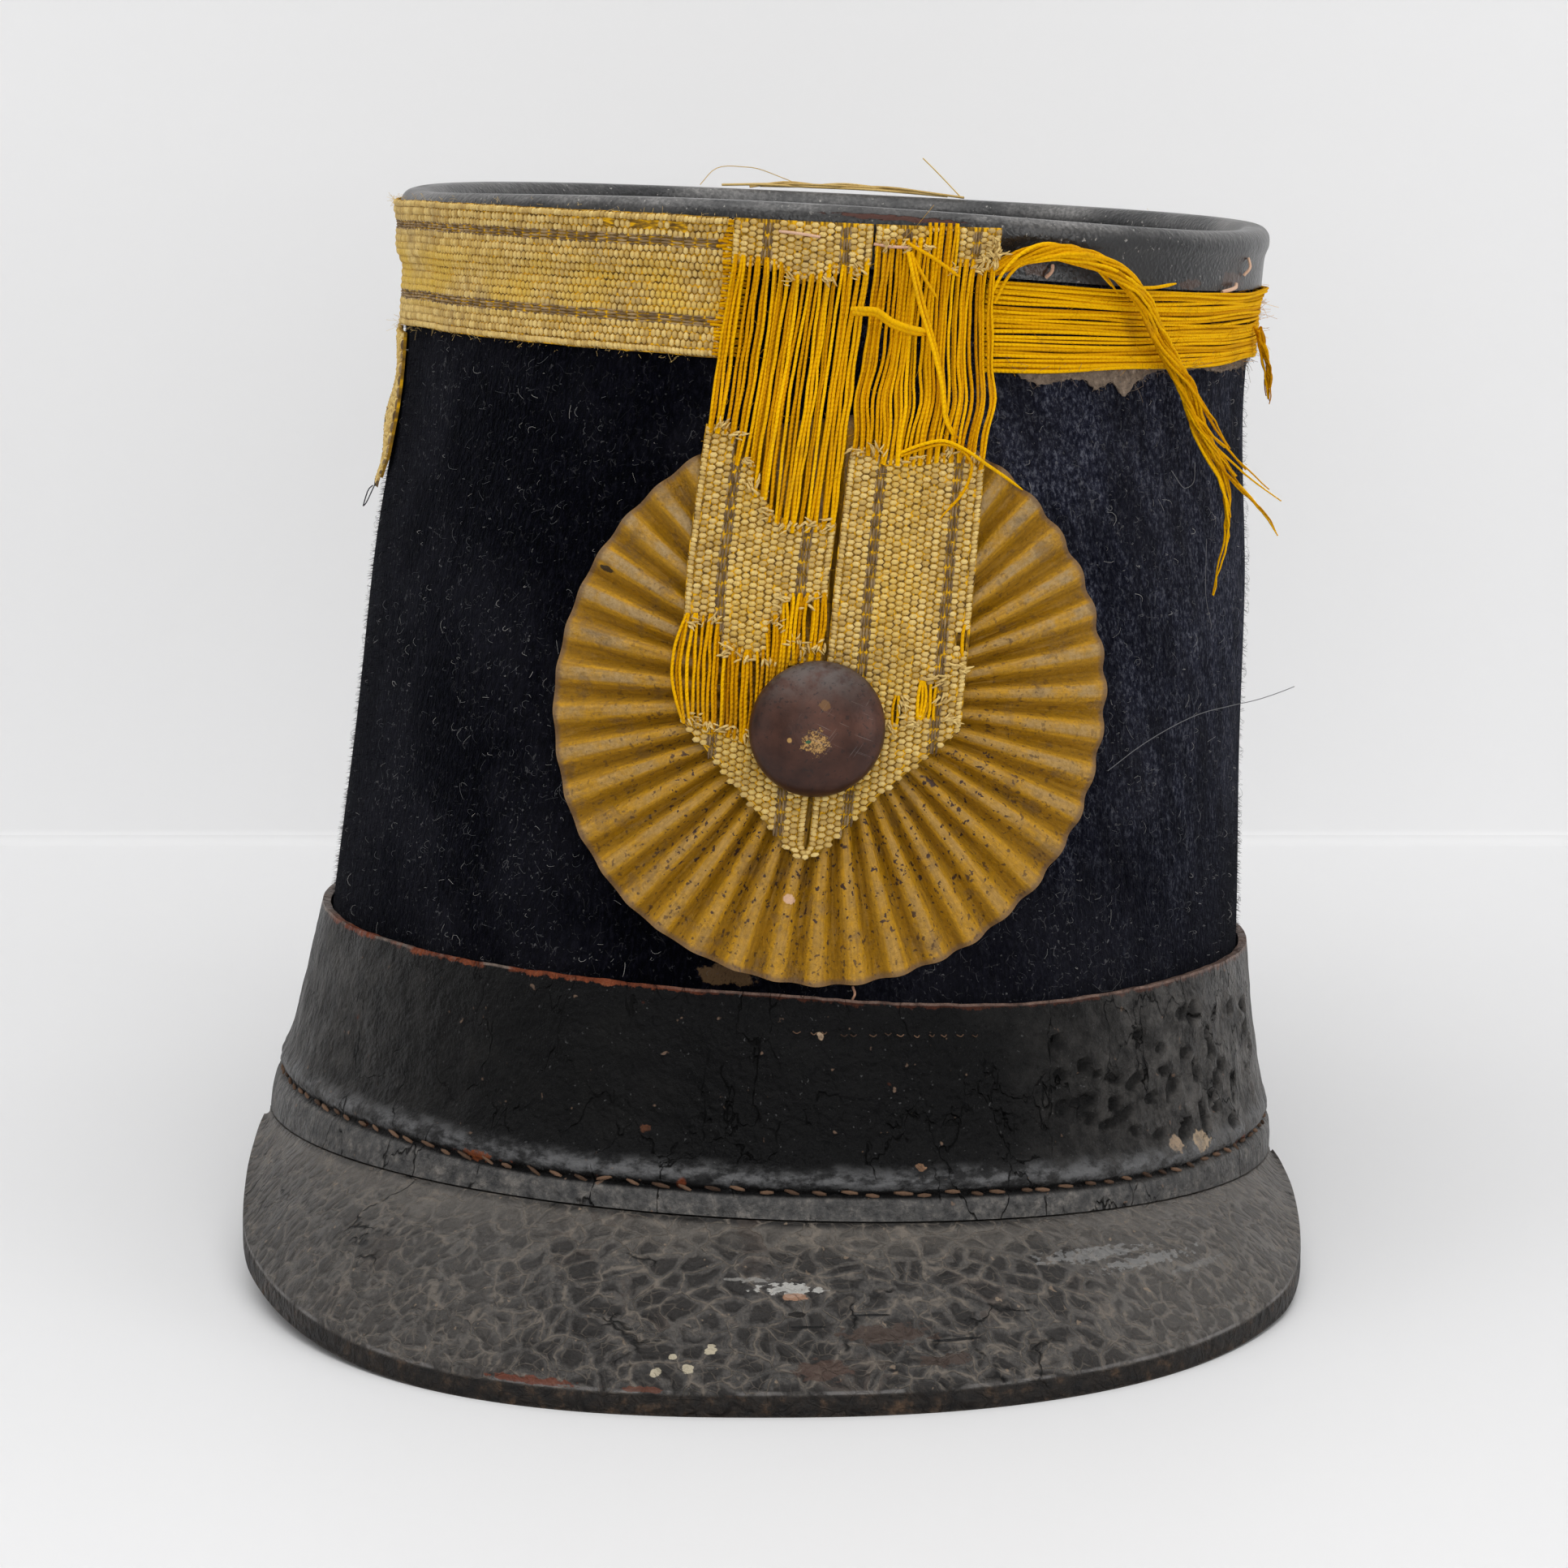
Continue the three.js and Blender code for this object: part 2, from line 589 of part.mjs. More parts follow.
function button() {
  const dome = steps(0, 90, 6).map((turn) => {
    const radius = BUTTON.radius * Math.sin(radians(turn));
    return new THREE.Vector2(radius, BUTTON.edge + (BUTTON.rise - BUTTON.edge) * Math.cos(radians(turn)));
  });
  const profile = [...dome, new THREE.Vector2(BUTTON.foot, 0), new THREE.Vector2(0, 0)];
  profile[0].x = 0;
  const lathe = new THREE.LatheGeometry(profile.reverse(), 28);
  lathe.deleteAttribute("normal");
  lathe.deleteAttribute("uv");
  lathe.rotateX(Math.PI / 2);
  lathe.applyMatrix4(frontFrame(BUTTON.angle, BUTTON.height, BUTTON.out));
  const merged = mergeVertices(lathe, 1e-3);
  const place = merged.attributes.position;
  const vertex = (_, i) => new THREE.Vector3().fromBufferAttribute(place, i);
  const points = Array.from({ length: place.count }, vertex);
  const index = Array.from(merged.index.array);
  const triangles = Array.from({ length: index.length / 3 }, (_, i) => index.slice(3 * i, 3 * i + 3));
  return solidFrom(points, triangles);
}

// What is left of a hanging end of braid on the kepi's side.
function braidRemnant() {
  const grid = (thickness) =>
    REMNANT_ROWS.map((row) =>
      steps(row.from, row.to, 2).map((angle) => shellPoint(angle, row.height, row.out + thickness)),
    );
  return wall(grid(REMNANT_THICKNESS), grid(0));
}

// ---------------------------------------------------------------- assembly

const hat = new THREE.Group();
hat.rotation.set(-LEAN_BACK, LEAN_SIDE, 0, "YXZ");
hat.position.z = BASE_LIFT;
hat.updateMatrixWorld(true);
const floorToHat = hat.matrixWorld.clone().invert();

hat.add(
  meshOf("cloth_body", clothBody(), CLOTH),
  meshOf("crown_top", crownTop(), CROWN_LEATHER),
  meshOf("leather_band", leatherBand(), BAND_LEATHER),
  meshOf("peak", peak(floorToHat), PEAK_LEATHER),
  meshOf("woven_braid", wovenBraid(), BRAID),
  meshOf("bare_warp", bareWarp(), YARN),
  meshOf("front_loop", frontLoop(), BRAID),
  meshOf("cockade", cockade(), PAINTED_TIN),
  meshOf("button", button(), COPPER),
  meshOf("yarn_bundle", joined([BUNDLE_STEM, ...BUNDLE_TIPS].map(lock)), YARN),
  meshOf("yarn_tuft", lock(TUFT), YARN),
  meshOf("braid_remnant", braidRemnant(), BRAID),
);

// The part's origin: the middle of the space it fills, on the surface it stands on.
const kepi = new THREE.Group();
kepi.add(hat);
const space = new THREE.Box3().setFromObject(kepi, true).getCenter(new THREE.Vector3());
kepi.position.set(-space.x, -space.y, 0);

export default kepi;
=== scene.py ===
# %% [markdown]
# # A tall military kepi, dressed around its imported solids
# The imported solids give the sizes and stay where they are. Each visible piece is built over its
# solid with the finish of the real one: napped wool, cracked leather, coarse braid that has lost
# much of its weft, painted tin and an old copper button. A hat is easier to think about in
# millimetres and standing straight, so every piece is shaped that way, in the kepi's own straight
# frame, and is set down in Blender's metres as its last step.

import math
from functools import partial

import bpy
import numpy as np
from mathutils import Matrix, Vector


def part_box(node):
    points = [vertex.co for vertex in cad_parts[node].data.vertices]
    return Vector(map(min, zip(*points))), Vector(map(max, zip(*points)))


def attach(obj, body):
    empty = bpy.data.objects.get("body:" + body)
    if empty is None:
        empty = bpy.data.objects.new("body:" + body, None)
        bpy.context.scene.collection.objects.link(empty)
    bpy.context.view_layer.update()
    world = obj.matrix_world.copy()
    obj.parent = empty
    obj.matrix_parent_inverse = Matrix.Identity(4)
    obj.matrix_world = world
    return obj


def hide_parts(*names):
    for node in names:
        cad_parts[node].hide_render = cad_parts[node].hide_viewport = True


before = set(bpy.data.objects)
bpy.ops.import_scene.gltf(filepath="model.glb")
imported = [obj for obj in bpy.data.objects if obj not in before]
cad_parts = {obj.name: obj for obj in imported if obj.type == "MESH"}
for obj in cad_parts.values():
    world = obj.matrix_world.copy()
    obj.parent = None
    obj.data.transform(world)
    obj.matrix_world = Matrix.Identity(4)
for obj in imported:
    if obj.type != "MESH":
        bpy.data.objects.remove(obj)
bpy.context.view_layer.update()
print("solids in the frame:", len(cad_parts))

# %% [markdown]
# ## The body's form
# The body is a stack of ellipses that narrows upwards and leans back a little. One function,
# `shell`, turns an angle round the hat, a height above the hem and a distance out from the cloth
# into a point, and every piece is placed with it. The tables are read with a smooth curve through
# their rows, which is what a maker's flexible rule would draw.

# %% Sections of the body, in millimetres
CLOTH_SECTIONS = np.array([
    # height, half width, half length, set back
    (-10, 79.3, 91.8, -0.6),
    (1, 79, 91.2, 0),
    (36, 78, 89.2, 2),
    (68, 76.1, 86.3, 3.1),
    (96, 75, 83.3, 4.2),
    (131, 72.3, 79.6, 5.5),
    (156, 72.6, 77.3, 6.4),
    (175, 72.6, 77.3, 6.4),
])
SIDE_DRIFT = 0.029
RIM_HEIGHT, RIM_FRONT_RISE, RIM_REAR_FALL, RIM_TURN = 157.8, 4.2, 1.3, 8


def through(x, stations, values):
    """A smooth curve through a table's stations, read at x."""
    x = np.asarray(x, float)
    slopes = np.gradient(values, stations)
    steps = np.diff(values) / np.diff(stations)
    for i in range(1, len(values) - 1):
        if steps[i - 1] * steps[i] <= 0:
            slopes[i] = 0
    at = np.clip(np.searchsorted(stations, x) - 1, 0, len(stations) - 2)
    width = stations[at + 1] - stations[at]
    t = np.clip((x - stations[at]) / width, 0, 1)
    rise = values[at + 1] - values[at]
    bend = width * (slopes[at] * (1 - t) - slopes[at + 1] * t)
    return values[at] + rise * t * t * (3 - 2 * t) + t * (1 - t) * bend


def column(rows, x, index):
    return through(x, rows[:, 0], rows[:, index])


def straight(rows, x, index=1):
    """A table's column read along straight lines from row to row."""
    return np.interp(x, rows[:, 0], rows[:, index])


def shell(angle, height, out=0):
    """Points on the body: angle 0 is the front, 90 the side on the right as seen from the front."""
    angle, height, out = np.broadcast_arrays(*(np.asarray(v, float) for v in (angle, height, out)))
    half_width, half_length, back = (column(CLOTH_SECTIONS, height, i) for i in (1, 2, 3))
    sine, cosine = np.sin(np.radians(angle)), np.cos(np.radians(angle))
    nx, ny = half_length * sine, -half_width * cosine
    size = np.hypot(nx, ny)
    x = half_width * sine + SIDE_DRIFT * height + out * nx / size
    y = -half_length * cosine + back + out * ny / size
    return np.stack([x, y, height], axis=-1)


def rim_height(angle):
    cosine = np.cos(np.radians(np.asarray(angle, float) + RIM_TURN))
    return RIM_HEIGHT + np.where(cosine > 0, RIM_FRONT_RISE, -RIM_REAR_FALL) * cosine**2


def turned_in(angle):
    """An angle round the hat, between -180 and 180."""
    return (np.asarray(angle, float) + 180) % 360 - 180


def smooth(x, low, high):
    t = np.clip((np.asarray(x, float) - low) / (high - low), 0, 1)
    return t * t * (3 - 2 * t)


print("cloth at the hem, mm across:", 2 * CLOTH_SECTIONS[1, 1])

# %% [markdown]
# ## How it stands
# The peak holds the front up, so the kepi leans back 7.5 degrees and a little to one side. One
# matrix does it, with the change from millimetres to metres. The middle of the solids' box is the
# origin, so the last shift across and along is read off the imported cloth body; its lift is given.

# %% Set-down matrix
LEAN_BACK, LEAN_SIDE, BASE_LIFT = math.radians(7.5), math.radians(2.482), 14.104
LEAN = Matrix.Rotation(LEAN_SIDE, 4, "Y") @ Matrix.Rotation(-LEAN_BACK, 4, "X")
CLOTH_TOP_DROP, CAD_STEPS = 3.1, 56


def turned(points, matrix):
    points = np.asarray(points, float)
    m = np.array(matrix, float)
    return points @ m[:3, :3].T + m[:3, 3]


def lowest_cloth_corner():
    angles = np.arange(CAD_STEPS) * 360 / CAD_STEPS
    rings = [shell(angles, 1), shell(angles, rim_height(angles) - CLOTH_TOP_DROP)]
    return turned(np.concatenate(rings), LEAN).min(axis=0)


SHIFT = np.array(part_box("cloth_body")[0]) * 1000 - lowest_cloth_corner()
SHIFT[2] = BASE_LIFT
SET_DOWN = Matrix.Scale(0.001, 4) @ Matrix.Translation(Vector(SHIFT)) @ LEAN
print("shift of the hat's axis, mm:", np.round(SHIFT, 2))

# %% [markdown]
# ## Camera, table and light
# The kepi is seen from a little above and straight in front, with a long lens, so that it is
# hardly foreshortened. The table meets a pale wall in a rounded corner, as a studio sweep does. A
# wide soft box overhead makes the peak and the rim the lightest parts, two more stand at the sides
# and one in front, and a pale world fills the shadows.

# %% Camera
SCENE = bpy.context.scene
CAMERA_PLACE = (0.00227, -1.29471, 0.41193)
CAMERA_DOWN, LENS = math.radians(14.575), 179.87
camera_data = bpy.data.cameras.new("camera")
camera_data.lens, camera_data.sensor_width = LENS, 36
camera_data.clip_start, camera_data.clip_end = 0.05, 20
camera = bpy.data.objects.new("camera", camera_data)
camera.location = CAMERA_PLACE
camera.rotation_euler = (math.radians(90) - CAMERA_DOWN, 0, 0)
SCENE.collection.objects.link(camera)
SCENE.camera = camera
SCENE.view_settings.view_transform = "Standard"
print("camera looks down by", round(math.degrees(CAMERA_DOWN), 2), "degrees")

# %% Working on one piece
def deselect():
    bpy.ops.object.select_all(action="DESELECT")


def work_on(piece):
    deselect()
    piece.select_set(True)
    bpy.context.view_layer.objects.active = piece


def edit(piece, kind="VERT", chosen=None):
    """Opens a piece in edit mode with all of it selected, or only what is chosen of one kind."""
    work_on(piece)
    bpy.ops.object.mode_set(mode="EDIT")
    bpy.ops.mesh.select_mode(type=kind)
    bpy.ops.mesh.select_all(action="SELECT" if chosen is None else "DESELECT")
    if chosen is not None:
        bpy.ops.object.mode_set(mode="OBJECT")
        mesh = piece.data
        kinds = {"VERT": mesh.vertices, "EDGE": mesh.edges, "FACE": mesh.polygons}
        kinds[kind].foreach_set("select", chosen)
        bpy.ops.object.mode_set(mode="EDIT")


def leave_edit(piece):
    bpy.ops.object.mode_set(mode="OBJECT")
    return piece


# %% Table, wall and soft light
def sweep_sheet(name, height, corners, radius):
    """A floor that turns up into a wall: its rear edge extruded upwards, the corner bevelled."""
    deselect()
    bpy.ops.mesh.primitive_plane_add(size=1)
    sheet = bpy.context.object
    sheet.name = name
    for vertex, (x, y) in zip(sheet.data.vertices, corners):
        vertex.co = (x, y, 0)
    back = max(y for _, y in corners)

    def rear_edge():
        ends = np.array([[sheet.data.vertices[v].co for v in e.vertices] for e in sheet.data.edges])
        return np.all((abs(ends[..., 1] - back) < 1e-6) & (abs(ends[..., 2]) < 1e-6), axis=1)

    edit(sheet, "EDGE", rear_edge())
    bpy.ops.mesh.extrude_region_move(TRANSFORM_OT_translate={"value": (0, 0, height)})
    leave_edit(sheet)
    edit(sheet, "EDGE", rear_edge())
    bpy.ops.mesh.bevel(offset=radius, segments=12)
    leave_edit(sheet)
    bpy.ops.object.shade_smooth()
    return sheet


def stage_paint(name, colour, roughness):
    paint = bpy.data.materials.new(name)
    paint.use_nodes = True
    shader = paint.node_tree.nodes["Principled BSDF"]
    shader.inputs["Base Color"].default_value = (*colour, 1)
    shader.inputs["Roughness"].default_value = roughness
    return paint


TABLE_HALF, TABLE_FRONT, WALL_BEHIND, WALL_HEIGHT = 2.2, -2.4, 0.2416, 3
TABLE_CORNERS = [(x, y) for y in (TABLE_FRONT, WALL_BEHIND) for x in (-TABLE_HALF, TABLE_HALF)]
sweep = sweep_sheet("table_and_wall", WALL_HEIGHT, TABLE_CORNERS, 0.003)
sweep.data.materials.append(stage_paint("table_white", (0.75, 0.75, 0.755), 0.55))
wall_paint = stage_paint("wall_white", (0.84, 0.84, 0.845), 0.6)
nodes, links = wall_paint.node_tree.nodes, wall_paint.node_tree.links
from_behind = nodes.new("ShaderNodeMixShader")
links.new(nodes.new("ShaderNodeNewGeometry").outputs["Backfacing"], from_behind.inputs["Fac"])
links.new(nodes["Principled BSDF"].outputs["BSDF"], from_behind.inputs[1])
links.new(nodes.new("ShaderNodeBsdfTransparent").outputs["BSDF"], from_behind.inputs[2])
links.new(from_behind.outputs["Shader"], nodes["Material Output"].inputs["Surface"])
sweep.data.materials.append(wall_paint)
for face in sweep.data.polygons:
    face.material_index = int(face.center.z > 0.002)

LAMPS = [
    # name, place, aim, size, watts
    ("overhead_box", (-0.05, -0.2, 1.45), (0, 0.05, 0.08), (1.9, 1.6), 19),
    ("front_box", (0.1, -2.7, 1.05), (0, 0, 0.1), (1.6, 1), 14.5),
    ("right_box", (2.2, -1.3, 0.8), (0, 0, 0.09), (1.2, 1.2), 14.5),
    ("left_box", (-2.2, -1.3, 0.8), (0, 0, 0.09), (1.2, 1.2), 6),
]
for name, place, aim, size, watts in LAMPS:
    data = bpy.data.lights.new(name, "AREA")
    data.shape, data.size, data.size_y = "RECTANGLE", *size
    data.energy = watts
    lamp = bpy.data.objects.new(name, data)
    lamp.location = place
    lamp.rotation_euler = (Vector(aim) - Vector(place)).to_track_quat("-Z", "Y").to_euler()
    SCENE.collection.objects.link(lamp)

world = bpy.data.worlds.new("pale_room")
world.use_nodes = True
background = world.node_tree.nodes["Background"].inputs
background["Color"].default_value, background["Strength"].default_value = (1, 1, 1, 1), 0.32
SCENE.world = world
print("lights:", [lamp[0] for lamp in LAMPS])

# %% [markdown]
# ## Cutting, wrapping and finishing
# Most of a hat is sheet: cloth, leather, braid and tin. So most pieces begin as a flat grid one
# unit wide and one high. A rule then wraps the sheet: it takes how far along and how far up a
# vertex lies and gives its place on the hat. A Solidify modifier gives the sheet its thickness,
# and `finish` sets the piece down, gives it its material and lets it ride on the frame. The flat
# grid's own map is kept in millimetres, so that a weave or a crack follows the surface at its
# true scale.

# %% Sheet helpers
RNG = np.random.default_rng(1872)


def points_of(piece):
    co = np.empty(3 * len(piece.data.vertices))
    piece.data.vertices.foreach_get("co", co)
    return co.reshape(-1, 3)


def move_points(piece, points):
    piece.data.vertices.foreach_set("co", np.ascontiguousarray(points, float).ravel())
    piece.data.update()


def cut_sheet(name, columns, rows):
    """A flat sheet from 0 to 1 both ways."""
    deselect()
    bpy.ops.mesh.primitive_grid_add(
        x_subdivisions=columns, y_subdivisions=rows, size=1, location=(0.5, 0.5, 0)
    )
    bpy.ops.object.transform_apply(location=True, rotation=False, scale=False)
    sheet = bpy.context.object
    sheet.name = sheet.data.name = name
    return sheet


def wrap(piece, rule, map_size=(1, 1)):
    """Wraps a flat sheet by its rule, and sizes its map in millimetres."""
    flat = points_of(piece)
    move_points(piece, rule(flat[:, 0], flat[:, 1]))
    uv = piece.data.uv_layers[0].data
    values = np.empty(2 * len(uv))
    uv.foreach_get("uv", values)
    uv.foreach_set("uv", (values.reshape(-1, 2) * map_size).ravel())
    return piece


def wave_noise(x, y, seed, octaves=4, size=1):
    """Smooth seeded lumps from a few crossed waves, about -1 to 1."""
    rng = np.random.default_rng(seed)
    total = np.zeros(np.broadcast(x, y).shape)
    for octave in range(octaves):
        for _ in range(4):
            turn = rng.uniform(0, 2 * math.pi)
            pitch = 2 * math.pi * 1.7**octave / size
            phase = rng.uniform(0, 2 * math.pi)
            total += np.sin(pitch * (x * math.cos(turn) + y * math.sin(turn)) + phase) / 1.5**octave
    return total / 6


def round_noise(angle, height, seed, octaves=4, size=1):
    """Lumps on the body, measured in millimetres. They die away behind, so that the seam closes."""
    calm = 1 - smooth(np.abs(turned_in(angle)), 160, 178)
    return calm * wave_noise(np.radians(angle) * 80, height, seed, octaves, size)


def mark(piece, name, rule):
    """Stores a value at each vertex of a flat sheet, for its material to read after wrapping."""
    flat = points_of(piece)
    values = piece.data.attributes.new(name, "FLOAT", "POINT")
    values.data.foreach_set("value", np.asarray(rule(flat[:, 0], flat[:, 1]), float))
    return piece


def keep_where(piece, rule):
    """Cuts away the faces of a flat sheet whose middles the rule doesn't keep."""
    middles = np.array([p.center for p in piece.data.polygons])
    edit(piece, "FACE", ~rule(middles[:, 0], middles[:, 1]))
    bpy.ops.mesh.delete(type="FACE")
    return leave_edit(piece)


def close_seam(piece):
    edit(piece)
    bpy.ops.mesh.remove_doubles(threshold=0.001)
    return leave_edit(piece)


def thicken(piece, thickness):
    """Gives a sheet its wall, inwards from the face that shows."""
    work_on(piece)
    wall = piece.modifiers.new("wall", "SOLIDIFY")
    wall.thickness, wall.offset, wall.use_even_offset = thickness, -1, False
    bpy.ops.object.modifier_apply(modifier=wall.name)
    return piece


def finish(piece, material, replaced=(), angle=50):
    """Sets a piece down in metres, shades it smooth, paints it and lets it ride."""
    piece.data.transform(SET_DOWN)
    work_on(piece)
    bpy.ops.object.shade_smooth_by_angle(angle=math.radians(angle))
    piece.data.materials.clear()
    piece.data.materials.append(material)
    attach(piece, "root")
    if replaced:
        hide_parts(*replaced)
    print(f"{piece.name}: {sum(len(p.vertices) - 2 for p in piece.data.polygons)} triangles")
    return piece


# %% [markdown]
# ## Yarns and grains
# Braid and yarn need thousands of small shapes. A yarn is a tube along a path, and `tubes` makes a
# whole bundle of them as one mesh. A weft stitch of the braid is a small dome, modelled once and
# then copied by `scatter` to each place, turned and sized to lie on the surface. Each copy keeps a
# number of its own, `tint`, which its material reads to make no two stitches alike.

# %% Meshes from points
def unit(rows, spare=0):
    return rows / (np.linalg.norm(rows, axis=-1, keepdims=True) + spare)


def mesh_piece(name, points, faces, tint=None, uv=None):
    """A mesh from points and equal-sided faces, with a tint and a map value for each vertex."""
    mesh = bpy.data.meshes.new(name)
    mesh.vertices.add(len(points))
    mesh.vertices.foreach_set("co", np.asarray(points, float).ravel())
    loops = np.concatenate([np.asarray(f, np.int32).ravel() for f in faces])
    sizes = np.concatenate([np.full(len(f), np.shape(f)[1]) for f in faces])
    mesh.loops.add(len(loops))
    mesh.loops.foreach_set("vertex_index", loops)
    mesh.polygons.add(len(sizes))
    mesh.polygons.foreach_set("loop_start", np.concatenate([[0], np.cumsum(sizes)[:-1]]))
    if tint is not None:
        mesh.attributes.new("tint", "FLOAT", "POINT").data.foreach_set("value", tint)
    if uv is not None:
        mesh.uv_layers.new(name="UVMap").data.foreach_set("uv", np.asarray(uv)[loops].ravel())
    mesh.update(calc_edges=True)
    mesh.validate()
    piece = bpy.data.objects.new(name, mesh)
    SCENE.collection.objects.link(piece)
    return piece


# %% Yarns as tubes
def tubes(name, paths, radii, sides=6, tints=None):
    """One mesh of round yarns. A radius is one number, or one for each point of its path."""
    points, walls, caps, shade, maps, count = [], [], [], [], [], 0
    turn = 2 * np.pi * np.arange(sides) / sides
    for i, path in enumerate(paths):
        path = np.asarray(path, float)
        n = len(path)
        radius = np.broadcast_to(radii[i], n)
        along = unit(np.gradient(path, axis=0), 1e-9)
        side = unit(np.cross(along, path * (1, 1, 0) + (0.01, 0.02, 0.3)), 1e-9)
        up = np.cross(side, along)
        ring = np.cos(turn)[None, :, None] * side[:, None] + np.sin(turn)[None, :, None] * up[:, None]
        points.append((path[:, None] + radius[:, None, None] * ring).reshape(-1, 3))
        rows = count + np.arange(n - 1)[:, None] * sides
        at, beside = rows + np.arange(sides), rows + (np.arange(sides) + 1) % sides
        walls.append(np.stack([at, at + sides, beside + sides, beside], -1).reshape(-1, 4))
        caps += [count + np.arange(sides), count + (n - 1) * sides + np.arange(sides)[::-1]]
        length = np.concatenate([[0], np.cumsum(np.linalg.norm(np.diff(path, axis=0), axis=1))])
        maps.append(np.stack(np.broadcast_arrays(length[:, None], turn[None]), -1).reshape(-1, 2))
        shade.append(np.full(n * sides, RNG.uniform() if tints is None else tints[i]))
        count += n * sides
    faces = [np.concatenate(walls), np.array(caps)]
    return mesh_piece(name, np.concatenate(points), faces, np.concatenate(shade), np.concatenate(maps))


# %% Copies of a small shape
def template_of(piece):
    """A small modelled shape as arrays, to be copied; the piece itself is removed."""
    points = points_of(piece)
    by_size = {}
    for polygon in piece.data.polygons:
        by_size.setdefault(len(polygon.vertices), []).append(list(polygon.vertices))
    bpy.data.objects.remove(piece)
    return points, [np.array(f) for f in by_size.values()]


def scatter(name, template, centres, xs, ys, zs, tints, maps=None):
    """Copies a template to each centre, along the given sized axes, as one mesh. Left-handed axes
    would turn the copies inside out, so their first axis is taken the other way."""
    points, faces = template
    left_handed = np.sum(np.cross(xs, ys) * zs, axis=1) < 0
    xs = np.where(left_handed[:, None], -xs, xs)
    n, m = len(centres), len(points)
    placed = centres[:, None] + points[None, :, 0, None] * xs[:, None]
    placed = placed + points[None, :, 1, None] * ys[:, None] + points[None, :, 2, None] * zs[:, None]
    copies = [(f[None] + m * np.arange(n)[:, None, None]).reshape(-1, f.shape[1]) for f in faces]
    uv = None if maps is None else np.repeat(maps, m, axis=0)
    return mesh_piece(name, placed.reshape(-1, 3), copies, np.repeat(tints, m), uv)


def seats(place, s, w, lift=0):
    """Where things sit on a wrapped sheet: centre and unit axes along, across and outwards."""
    step = 0.2
    centre = place(s, w, lift)
    along = unit(place(s + step, w, lift) - place(s - step, w, lift))
    across = unit(place(s, w + step, lift) - place(s, w - step, lift))
    out = unit(np.cross(along, across))
    inwards = np.sum(out * centre * (1, 1, 0), axis=1) < 0
    out[inwards] *= -1
    return centre, along, across, out


print("helpers ready")

# %% [markdown]
# ## Node tools and shared effects
# A material is a small network. Writing it is easier with short tools that add a node, join its
# inputs and hand on its output; each finds the network from the sockets that it is given. Effects
# that several materials need are node groups: specks, soft patches of wear, dust that settles where
# a surface faces up, and the cells and cracks of old leather. A group gives out only masks and
# heights, and each material decides what to do with them.

# %% Node tools
def is_socket(value):
    return isinstance(value, bpy.types.NodeSocket)


def tree_of(*values):
    return next(v.id_data for v in values if is_socket(v))


def join(value, socket):
    if is_socket(value):
        value.id_data.links.new(value, socket)
    else:
        socket.default_value = value


def node(tree, kind, inputs=None, **settings):
    made = tree.nodes.new(kind)
    for name, value in settings.items():
        setattr(made, name, value)
    for name, value in (inputs or {}).items():
        join(value, made.inputs[name])
    return made


def ramp(factor, stops):
    """A colour ramp. Each stop is its place, red, green and blue."""
    made = node(tree_of(factor), "ShaderNodeValToRGB", {"Fac": factor})
    elements = made.color_ramp.elements
    while len(elements) < len(stops):
        elements.new(0.5)
    for element, (place, *colour) in zip(elements, stops):
        element.position, element.color = place, (*colour, 1)
    return made.outputs["Color"]


def mixed(factor, first, second, blend="MIX"):
    """Two colours mixed by a mask."""
    made = tree_of(factor, first, second).nodes.new("ShaderNodeMix")
    made.data_type, made.blend_type, made.clamp_factor = "RGBA", blend, True
    join(factor, made.inputs[0])
    for index, value in ((6, first), (7, second)):
        join(value if is_socket(value) else (*value, 1), made.inputs[index])
    return made.outputs[2]


def painted(colour, *coats):
    """A colour under several coats, laid in turn. Each is its mask and its own colour."""
    for mask, coat in coats:
        colour = mixed(mask, colour, coat)
    return colour


def maths(operation, *values, clamp=False):
    """A sum of two values, or of more, taken in turn."""
    if len(values) > 2:
        values = (maths(operation, *values[:-1]), values[-1])
    made = tree_of(*values).nodes.new("ShaderNodeMath")
    made.operation, made.use_clamp = operation, clamp
    for socket, value in zip(made.inputs, values):
        join(value, socket)
    return made.outputs[0]


times, plus, minus = (partial(maths, kind) for kind in ("MULTIPLY", "ADD", "SUBTRACT"))
greater, positive = partial(maths, "MAXIMUM"), partial(maths, "ABSOLUTE")


def fitted(value, low, high, to_low=0, to_high=1):
    """A value's range moved to a new one, with smooth ends."""
    ends = {"Value": value, "From Min": low, "From Max": high, "To Min": to_low, "To Max": to_high}
    made = node(tree_of(value), "ShaderNodeMapRange", ends, interpolation_type="SMOOTHSTEP")
    return made.outputs["Result"]


def within(value, low, high, soft):
    """1 between two values, falling softly to 0 outside them."""
    return times(fitted(value, low - soft, low + soft), fitted(value, high + soft, high - soft))


def noise(vector, scale, detail=4, roughness=0.55):
    inputs = {"Vector": vector, "Scale": scale, "Detail": detail, "Roughness": roughness}
    return node(tree_of(vector), "ShaderNodeTexNoise", inputs).outputs["Fac"]


def mapped(vector, **how):
    return node(tree_of(vector), "ShaderNodeMapping", {"Vector": vector, **how}).outputs["Vector"]


def stretched(vector, scale):
    return mapped(vector, Scale=scale)


def tilted(vector, turn):
    return mapped(vector, Rotation=turn)


def part(vector, letter):
    return node(tree_of(vector), "ShaderNodeSeparateXYZ", {"Vector": vector}).outputs[letter]


def vectors(operation, first, second=None, **more):
    inputs = {0: first, **more} if second is None else {0: first, 1: second}
    return node(tree_of(first), "ShaderNodeVectorMath", inputs, operation=operation).outputs


